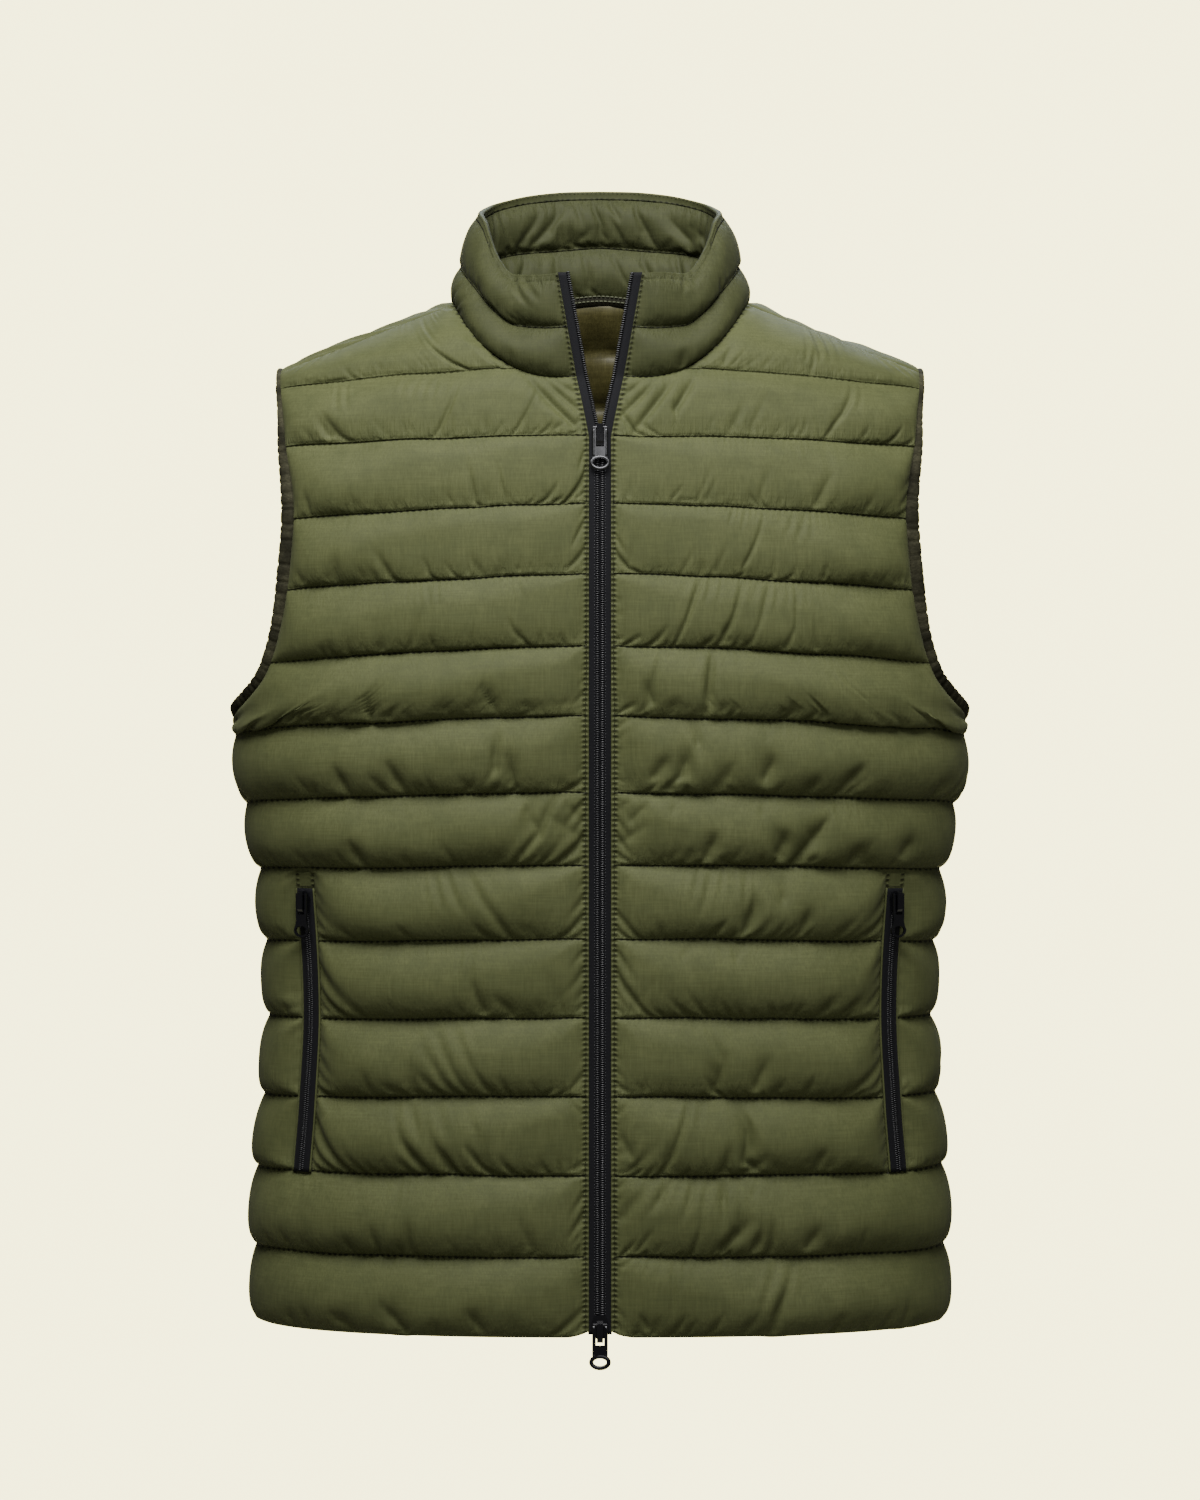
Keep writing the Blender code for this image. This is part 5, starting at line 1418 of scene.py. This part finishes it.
def front_stitches(grid):
    """Quilting, the line beside the zip, the pocket's welts and the bars at its ends."""
    parts = seam_stitches(grid, ZIP_STITCH_COLUMN + 1)
    rows = np.nonzero(grid["valid"][:, 0])[0][1:-1]
    thread = {"pitch": ZIP_STITCH_PITCH, **EDGE_THREAD}
    parts.append(stitches_on(grid, "shell", rows, ZIP_STITCH_COLUMN, 0.0002, **thread))
    z = np.linspace(WELT_TOP, POCKET_BOTTOM - 0.0005, 90)
    for share in (POCKET_SHARES[0] - WELT_LINE, POCKET_SHARES[1] + WELT_LINE):
        parts.append(stitch_line(*surface_line(share, z, 0.0003), pitch=0.0028, **EDGE_THREAD))
    for height in (POCKET_TOP + 0.0012, POCKET_BOTTOM - 0.0012):
        line = [surface_line(share, np.array([height]), 0.0004) for share in np.linspace(*POCKET_SHARES, 12)]
        points, ways = (np.concatenate(found) for found in zip(*line))
        parts.append(stitch_line(points, ways, pitch=0.0012, length=0.8, radius=0.00030))
    return joined(parts)


fronts = {"left": settled_front(11, LEFT_CREASES), "right": settled_front(29, RIGHT_CREASES)}
for side, grid in fronts.items():
    part, counts, valid = closed_wall(grid["shell"], grid["lining"], grid["notch"], INSIDE, False)
    part = on_side(part, side)
    add_padded(f"front_{side}_quilted", part, counts, valid, [grid], f"front_{side}", SHELL, LINING)
    add_piece(f"stitches_{side}", on_side(front_stitches(grid), side), "olive_shell", THREAD)

back = settled_back(47)
wall = closed_wall(back["shell"], back["lining"], back["notch"], INSIDE, True)
add_padded("back_quilted", *wall, [back], "back", SHELL, LINING)
add_piece("stitches_back", joined(seam_stitches(back, 2)), "olive_shell", THREAD)

collar, collar_seams = settled_collar()
outer, inner = collar["outer"], collar["inner"]
wall = closed_wall(outer["shell"], inner["shell"], (len(outer["shell"]) - 1, 0), 1, True)
add_padded("collar_quilted", *wall, [outer, inner], "collar", COLLAR_OUT_PAINTED_SHADE, COLLAR_IN_PAINTED_SHADE)
parts = []
rim_columns = np.nonzero(outer["flat"] > 0.5)[0]
every = np.arange(2, outer["base"].shape[1] - 2)
for grid in (outer, inner):
    for row, columns in ((collar_seams[1], every), (collar_seams[2], rim_columns), (-2, rim_columns)):
        parts.append(stitches_on(grid, "base", row, columns, 0.0001, pitch=0.0030, radius=0.00022))
rows = np.arange(1, len(outer["shell"]) - 1)
for column in (COLLAR_STITCH_COLUMN, -1 - COLLAR_STITCH_COLUMN):
    parts.append(stitches_on(outer, "shell", rows, column, 0.0001, pitch=ZIP_STITCH_PITCH, **EDGE_THREAD))
add_piece("stitches_collar", joined(parts), "olive_shell", THREAD)

# ---------------------------------------------------------------- neck tape, with a strip of painted shadow below it
NECK_TAPE_AND_PAINTED_SHADOW_PROFILE = (
    # up from the neck seam, inward
    # the first two rows lie 5 mm down the lining below the neck seam: that dark strip is painted shadow under
    # the tape
    (-0.0050, 0.0003),
    (-0.0050, 0.0013),
    (-0.0010, 0.0022),
    (0.0022, 0.0026),
    (0.0022, 0.0012),
    (-0.0010, 0.0008),
)
NECK_TAPE_THREADS = ((-0.0014, 0.0021), (0.0019, 0.0026))

count = inner["base"].shape[1]
columns = np.arange(int(count * 0.28), int(count * 0.72))
foot, inward = inner["base"][0][columns], inner["ways"][0][columns]
rising = unit(inner["base"][4][columns] - foot)
strip = ring_strip(np.stack([foot + rising * a + inward * b for a, b in NECK_TAPE_AND_PAINTED_SHADOW_PROFILE], axis=1), False)
tape = turned_out(add_piece("neck_tape_sewn_and_painted_shadow", strip, "neck_tape", NECK_TAPE_AND_PAINTED_SHADOW, replaces=["neck_tape"]))
thread = {"pitch": 0.0030, "length": 1.02, "radius": 0.0006, "uneven": 0.0}
parts = [stitch_line(foot + rising * a + inward * b, inward, **thread) for a, b in NECK_TAPE_THREADS]
add_piece("stitches_neck_tape", joined(parts), "neck_tape", PALE_THREAD)


# ---------------------------------------------------------------- armhole bindings
def armhole_loop():
    """Points round an armhole and the ways out of the cloth beside it."""
    found = []
    for grid in (fronts["left"], back):
        edge, ways = grid["base"][:, -1], grid["ways"][:, -1]
        rows = edge[:, 2] > UNDERARM - GAP
        found.append((edge[rows], ways[rows]))
    (front, front_ways), (rear, rear_ways) = found
    front[0, 1] = 0.0
    points = np.concatenate([front, rear[::-1][1:-1]])
    ways = np.concatenate([front_ways, rear_ways[::-1][1:-1]])
    both = np.concatenate([points, ways], axis=1)
    both = np.concatenate([both, both[:1]])
    run = run_along(both[:, :3])
    at = np.linspace(0, run[-1], int(run[-1] / BINDING_STEP) + 1)[:-1]
    even = between(at, run, both)
    for _ in range(BINDING_SOFTENED):
        even = (np.roll(even, 1, 0) + 2 * even + np.roll(even, -1, 0)) / 4
    return even[:, :3], unit(even[:, 3:]), at, run[-1]


BINDING_WIDTHS = (
    # height, share of its width
    (-0.280, 0.98),
    (-0.230, 0.98),
    (-0.180, 1.15),
    (-0.140, 1.15),
    (-0.100, 0.84),
    (-0.070, 0.56),
    (-0.040, 0.44),
)


def binding_rings(seed):
    """Rings round the binding, with its gathers, and the length of the armhole's edge."""
    points, ways, at, total = armhole_loop()
    along = unit(np.roll(points, -1, 0) - np.roll(points, 1, 0))
    out = unit(np.cross(along, ways))
    ways = unit(np.cross(out, along))
    leaning = unit(out + 0.30 * ways)
    rng = np.random.default_rng(seed)
    gathers = int(total / BINDING_GATHERS_APART)
    places = (np.arange(gathers) + rng.uniform(-0.3, 0.3, gathers)) * total / gathers
    away = (at[:, None] - places[None, :] + total / 2) % total - total / 2
    deep = rng.uniform(0.35, 1.0, gathers)
    pinch = (deep * np.exp(-((away / 0.0010) ** 2))).max(axis=1)
    swell = np.interp(at, places[::3], rng.uniform(-1, 1, len(places[::3])), period=total)
    turns = np.arange(BINDING_AROUND) * 2 * math.pi / BINDING_AROUND
    a, b = np.cos(turns), np.sin(turns)
    a, b = np.sign(a) * np.abs(a) ** 0.75, np.sign(b) * np.abs(b) ** 0.75
    narrow = Curve(BINDING_WIDTHS, 1)(points[:, 2])
    wide = BINDING_HALF_WIDTH * narrow * (1 - 0.13 * pinch + 0.04 * swell)
    thick = BINDING_HALF_THICK * (1 - 0.34 * pinch + 0.08 * swell)
    centre = points + leaning * (BINDING_OUT - BINDING_HALF_WIDTH * (1 - narrow))[:, None] - ways * WALL / 2
    rings = centre[:, None] + leaning[:, None] * (a * wide[:, None])[..., None]
    rings = rings + ways[:, None] * (b * thick[:, None])[..., None]
    return rings, total


for side, seed in (("left", 5), ("right", 6)):
    rings, total = binding_rings(seed)
    part = on_side(ring_strip(rings, True), side)
    node = f"armhole_binding_{side}"
    made = turned_out(add_piece(f"{node}_sewn", part, "armhole_binding", BINDING, replaces=[node]))


# ---------------------------------------------------------------- front zip
def zip_path(grid):
    """Points down the folded edge that the tape lies in, from the hem to the rim, and its length."""
    edge = grid["base"][grid["valid"][:, 0], 0]
    edge = edge[edge[:, 2] > QUILTING[0][0] + 0.002]
    low = on_surface(np.array([ZIP_HALF]), np.array([QUILTING[0][0] + TAPE_END]), False)
    high = (outer["base"][2:, 0] + inner["base"][2:, 0]) / 2 - (0, WALL / 2, 0)
    points = np.concatenate([low, edge, high])
    run = run_along(points)
    at = np.linspace(0, run[-1], int(run[-1] / 0.0025) + 1)
    return between(at, run, points), run[-1]


def tape_edges(path):
    """How far from the middle plane a tape's outer and inner edge are, at each point of its path."""
    outer_edge = path[:, 0] + 0.0005
    inner_edge = np.maximum(outer_edge - 0.0012 - TAPE_SHOWS, 0.00002)
    inner_edge[path[:, 2] < ZIP_OPEN_ABOVE] = -0.00005
    below = np.maximum(0.0, TAPE_PARTS_BELOW - path[:, 2])
    return outer_edge, inner_edge + ZIP_OPEN_SLOPE * below


def coil_row(path, inward, out, pitch, offset, half, proud, height):
    """Coil teeth along a path: low blunt bars with six sides that reach across it."""
    run = run_along(path)
    at = np.arange(offset, run[-1], pitch)
    centre = between(at, run, path)
    inward, out = (unit(between(at, run, np.broadcast_to(way, path.shape))) for way in (inward, out))
    along = unit(np.cross(inward, out))
    turns = np.arange(6)[:, None] * math.pi / 3 + math.pi / 6
    rings = []
    for size, up in ((1.0, 0.0), (0.92, proud * 0.6), (0.55, proud)):
        a, b = np.cos(turns) * half * size / math.cos(math.pi / 6), np.sin(turns) * height * size
        rings.append((centre + out * up)[:, None] + inward[:, None] * a + along[:, None] * b)
    return short_bars(np.stack(rings, axis=1))


ZIP_INWARD, ZIP_OUT = (1.0, 0.0, 0.0), (0.0, -1.0, 0.0)
COIL_HALF, COIL_PROUD = 0.00130, 0.0011

path, zip_length = zip_path(fronts["left"])
outer_edge, inner_edge = tape_edges(path)
front_y = path[:, 1] + TAPE_SUNK
tape_profile = (
    # x, how far behind the tape's face
    (outer_edge, 0.0003),
    (outer_edge - 0.0006, 0.0),
    ((outer_edge + inner_edge) / 2, -0.0001),
    (inner_edge + 0.0004, 0.0),
    (inner_edge, 0.0004),
    (inner_edge, 0.0012),
    (outer_edge, 0.0012),
)


def down_the_tape(x, behind):
    return point(x, front_y + behind, path[:, 2])


closed = (path[:, 2] < TOP_TEETH_END) & (path[:, 2] > BOTTOM_TEETH_END)
opened = path[:, 2] > ZIP_OPEN_ABOVE + 0.004
tape = ring_strip(np.stack([down_the_tape(x, behind) for x, behind in tape_profile], axis=1), False)
coil_lines = (
    (down_the_tape(0.00165, 0.0001)[closed], 0.00044),
    (down_the_tape(inner_edge + 0.0007, -0.0001)[opened], 0.00046),
)
seam_line = down_the_tape(0.0036, -0.0002)[closed]
sewn = stitch_line(seam_line, ZIP_OUT, pitch=0.0022, length=0.7, radius=0.00018)
for side, offset in (("left", 0.0), ("right", COIL_PITCH / 2)):
    coils = []
    for line, height in coil_lines:
        coils.append(coil_row(line, ZIP_INWARD, ZIP_OUT, COIL_PITCH, offset, COIL_HALF, COIL_PROUD, height))
    node = f"zip_tape_{side}"
    made = turned_out(add_piece(f"{node}_sewn", on_side(tape, side), "zip_tape", ZIP_TAPE, replaces=[node]))
    turned_out(add_piece(f"zip_coil_{side}", on_side(joined(coils), side), "zip_tape", COIL))
    add_piece(f"zip_coil_stitches_{side}", on_side(sewn, side), "zip_tape", COIL)


# ---------------------------------------------------------------- pocket zips
def pocket_part(lines):
    """A strip down the pocket through lines of (share, lift)."""
    z = np.linspace(POCKET_TOP, POCKET_BOTTOM, 70)
    return ring_strip(np.stack([surface_line(share, z, lift)[0] for share, lift in lines], axis=1), False)


HALF_TAPE = ((0.0, 0.0003), (0.0, 0.0010), (0.004, 0.0016))  # share in from the pocket's edge, lift
LIP = (
    # share out from the pocket's edge, lift
    (0.0004, 0.0013),
    (0.0012, 0.0019),
    (0.0034, 0.0016),
    (0.0046, 0.0007),
    (0.0042, 0.0002),
    (0.0008, 0.0003),
)
POCKET_COIL = (0.0013, 0.00105, 0.0009, 0.0004)  # pitch, half width, proud, height

first, last = POCKET_SHARES
middle = (first + last) / 2
lines = [(first + share, lift) for share, lift in HALF_TAPE]
lines += [(middle - 0.006, 0.0018), (middle, 0.0012), (middle + 0.006, 0.0018)]
lines += [(last - share, lift) for share, lift in reversed(HALF_TAPE)]
tape = pocket_part(lines)
lips = []
for edge, way in ((first, -1), (last, 1)):
    lips.append(pocket_part([(edge + way * share, lift) for share, lift in LIP]))
z = np.linspace(POCKET_TOP - 0.014, POCKET_BOTTOM + 0.001, 300)
line, out = surface_line(middle, z, 0.0014)
sideways = unit(np.cross(out, (0.0, 0.0, 1.0)))
pitch, *coil_size = POCKET_COIL
coils = []
for away, offset in ((0.0011, 0.0), (-0.0011, pitch / 2)):
    coils.append(coil_row(line + sideways * away, sideways, out, pitch, offset, *coil_size))
for side in SIDES:
    node, rests_on = f"pocket_zip_{side}", [f"front_{side}_quilted"]
    made = turned_out(add_piece(f"{node}_sewn", on_side(tape, side), "zip_tape", ZIP_TAPE, replaces=[node]))
    made = turned_out(add_piece(f"pocket_welt_{side}", on_side(joined(lips), side), "olive_shell", SHELL))
    for layer in ("seam", "near", "edge"):
        float_layer(made, layer, np.zeros(len(made.data.vertices)))
    turned_out(add_piece(f"pocket_coil_{side}", on_side(joined(coils), side), "zip_tape", COIL))


# ---------------------------------------------------------------- sliders and pulls
hardware = [f"zip_{piece}_{level}" for piece in ("slider", "pull") for level in ("top", "bottom")]
hardware += [f"pocket_{piece}_{side}" for piece in ("slider", "pull") for side in SIDES]
for name in hardware:
    node = bpy.data.objects[name]
    node.data.materials.clear()
    node.data.materials.append(GUNMETAL if name == "zip_pull_top" else ENAMEL)
    rounded = node.modifiers.new("rounded", "BEVEL")
    rounded.width, rounded.segments = 0.00028, 2
    rounded.limit_method, rounded.angle_limit = "ANGLE", math.radians(35)
    rounded.harden_normals = True
    node.data.shade_smooth()

# rounded rims on the front pulls
BAR_TO_TAPE, RING_CENTRE, SIDE_BAR = 0.0026, -0.0240, 0.0040
SIDE_BAR_TOP, SIDE_BAR_END, RIM_HALF_DEEP = -0.0006, -0.0200, 0.00085
PULL_RIMS = (
    # level, bar's height, finish, slot, ring's half width, half height, rim's half width
    ("top", -0.0894, GUNMETAL, "pull_metal", 0.0055, 0.0039, 0.00110),
    ("bottom", -0.6738, ENAMEL, "slider_black", 0.0057, 0.0038, 0.00145),
)


def rim_tube(path, sideways, out, half, closes):
    """A rounded bar along a path, flatter across the pull than along it."""
    around = (np.arange(10)[:, None] + 0.5) * 2 * math.pi / 10
    rings = path[:, None] + np.cos(around) * half * sideways[:, None]
    return ring_strip(rings + np.sin(around) * RIM_HALF_DEEP * out, closes)


for level, height, finish, slot, half_x, half_z, half in PULL_RIMS:
    low, high, here = on_surface(np.zeros(3), height + np.array([-0.01, 0.005, 0.0]), False)
    up = unit(high - low)
    out = np.array([0.0, -up[2], up[1]])
    place = here + out * (BAR_TO_TAPE - TAPE_SUNK)
    turns = np.arange(40)[:, None] * 2 * math.pi / 40
    ring = place + up * RING_CENTRE + np.cos(turns) * (half_x, 0, 0) + np.sin(turns) * half_z * up
    spoke = unit(np.cos(turns) * (half_z, 0, 0) + np.sin(turns) * half_x * up)
    rims = [rim_tube(ring, spoke, out, half, True)]
    steps = np.linspace(SIDE_BAR_TOP, SIDE_BAR_END, 12)[:, None]
    for x in (-SIDE_BAR, SIDE_BAR):
        bar = place + up * steps + (x, 0, 0)
        rims.append(rim_tube(bar, np.tile((1.0, 0, 0), (12, 1)), out, half * 0.8, False))
    made = turned_out(mesh_object(f"pull_rim_{level}", *joined(rims), finish))
    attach(made, f"{level}_pull")


# ---------------------------------------------------------------- camera, light and room
def area_light(name, place, target, size, power, colour=(1, 1, 1)):
    data = bpy.data.lights.new(name, "AREA")
    data.shape, data.size, data.size_y = "RECTANGLE", size[0], size[1]
    data.energy, data.color = power, colour
    made = bpy.data.objects.new(name, data)
    bpy.context.scene.collection.objects.link(made)
    made.location = place
    made.rotation_euler = (Vector(target) - Vector(place)).to_track_quat("-Z", "Y").to_euler()


camera_data = bpy.data.cameras.new("camera")
camera_data.sensor_width, camera_data.lens = 36.0, 36.0 * VIEW_AWAY / VIEW_TALL
camera = bpy.data.objects.new("camera", camera_data)
camera.location = (0.0, -VIEW_AWAY - VEST_FRONT, VIEW_HEIGHT)
camera.rotation_euler = (math.radians(90), 0, 0)
bpy.context.scene.collection.objects.link(camera)
bpy.context.scene.camera = camera

FLOOR, WALL_AWAY = -2.4, 6.0
paper = Nodes("cream_paper")
paper.finish((0.02, 0.02, 0.02, 1.0), 1.0, specular=0.0)
mottle = paper.spread(paper.noise((1.8, 1.8, 1.8), 4.0, 0.6), 0.35, 0.65)
glow = paper.mix(mottle, (0.975, 0.910, 0.440), (0.990, 0.925, 0.455))
paper.feed(paper.shader.inputs["Emission Color"], glow)
paper.shader.inputs["Emission Strength"].default_value = 5.5
pale = plain("pale_floor", (0.42, 0.41, 0.37), 0.8, grain=0.0002, varied=0.03, specular=0.1)
wall = [(x, WALL_AWAY, z) for x, z in ((-1.9, FLOOR), (1.9, FLOOR), (1.9, 1.8), (-1.9, 1.8))]
floor = [(x, y, FLOOR) for x, y in ((-3.5, -4.0), (3.5, -4.0), (3.5, WALL_AWAY), (-3.5, WALL_AWAY))]
for name, corners, material in (("backdrop", wall, paper.material), ("floor", floor, pale)):
    mesh_object(name, corners, [[0, 1, 2, 3]], material)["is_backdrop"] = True

world = bpy.data.worlds.new("studio")
world.use_nodes = True
background = world.node_tree.nodes["Background"].inputs
background["Color"].default_value = (1.0, 0.99, 0.96, 1.0)
background["Strength"].default_value = 0.06
bpy.context.scene.world = world
area_light("key", (-0.12, -1.04, 1.34), (0, 0, -0.25), (1.8, 1.0), 52)
area_light("back", (0.2, 2.3, 2.1), (0, 0, -0.35), (2.0, 1.2), 50, (0.78, 0.87, 1.0))
area_light("fill", (0.6, -2.6, 0.3), (0, 0, -0.35), (1.6, 1.6), 8)

low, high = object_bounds()
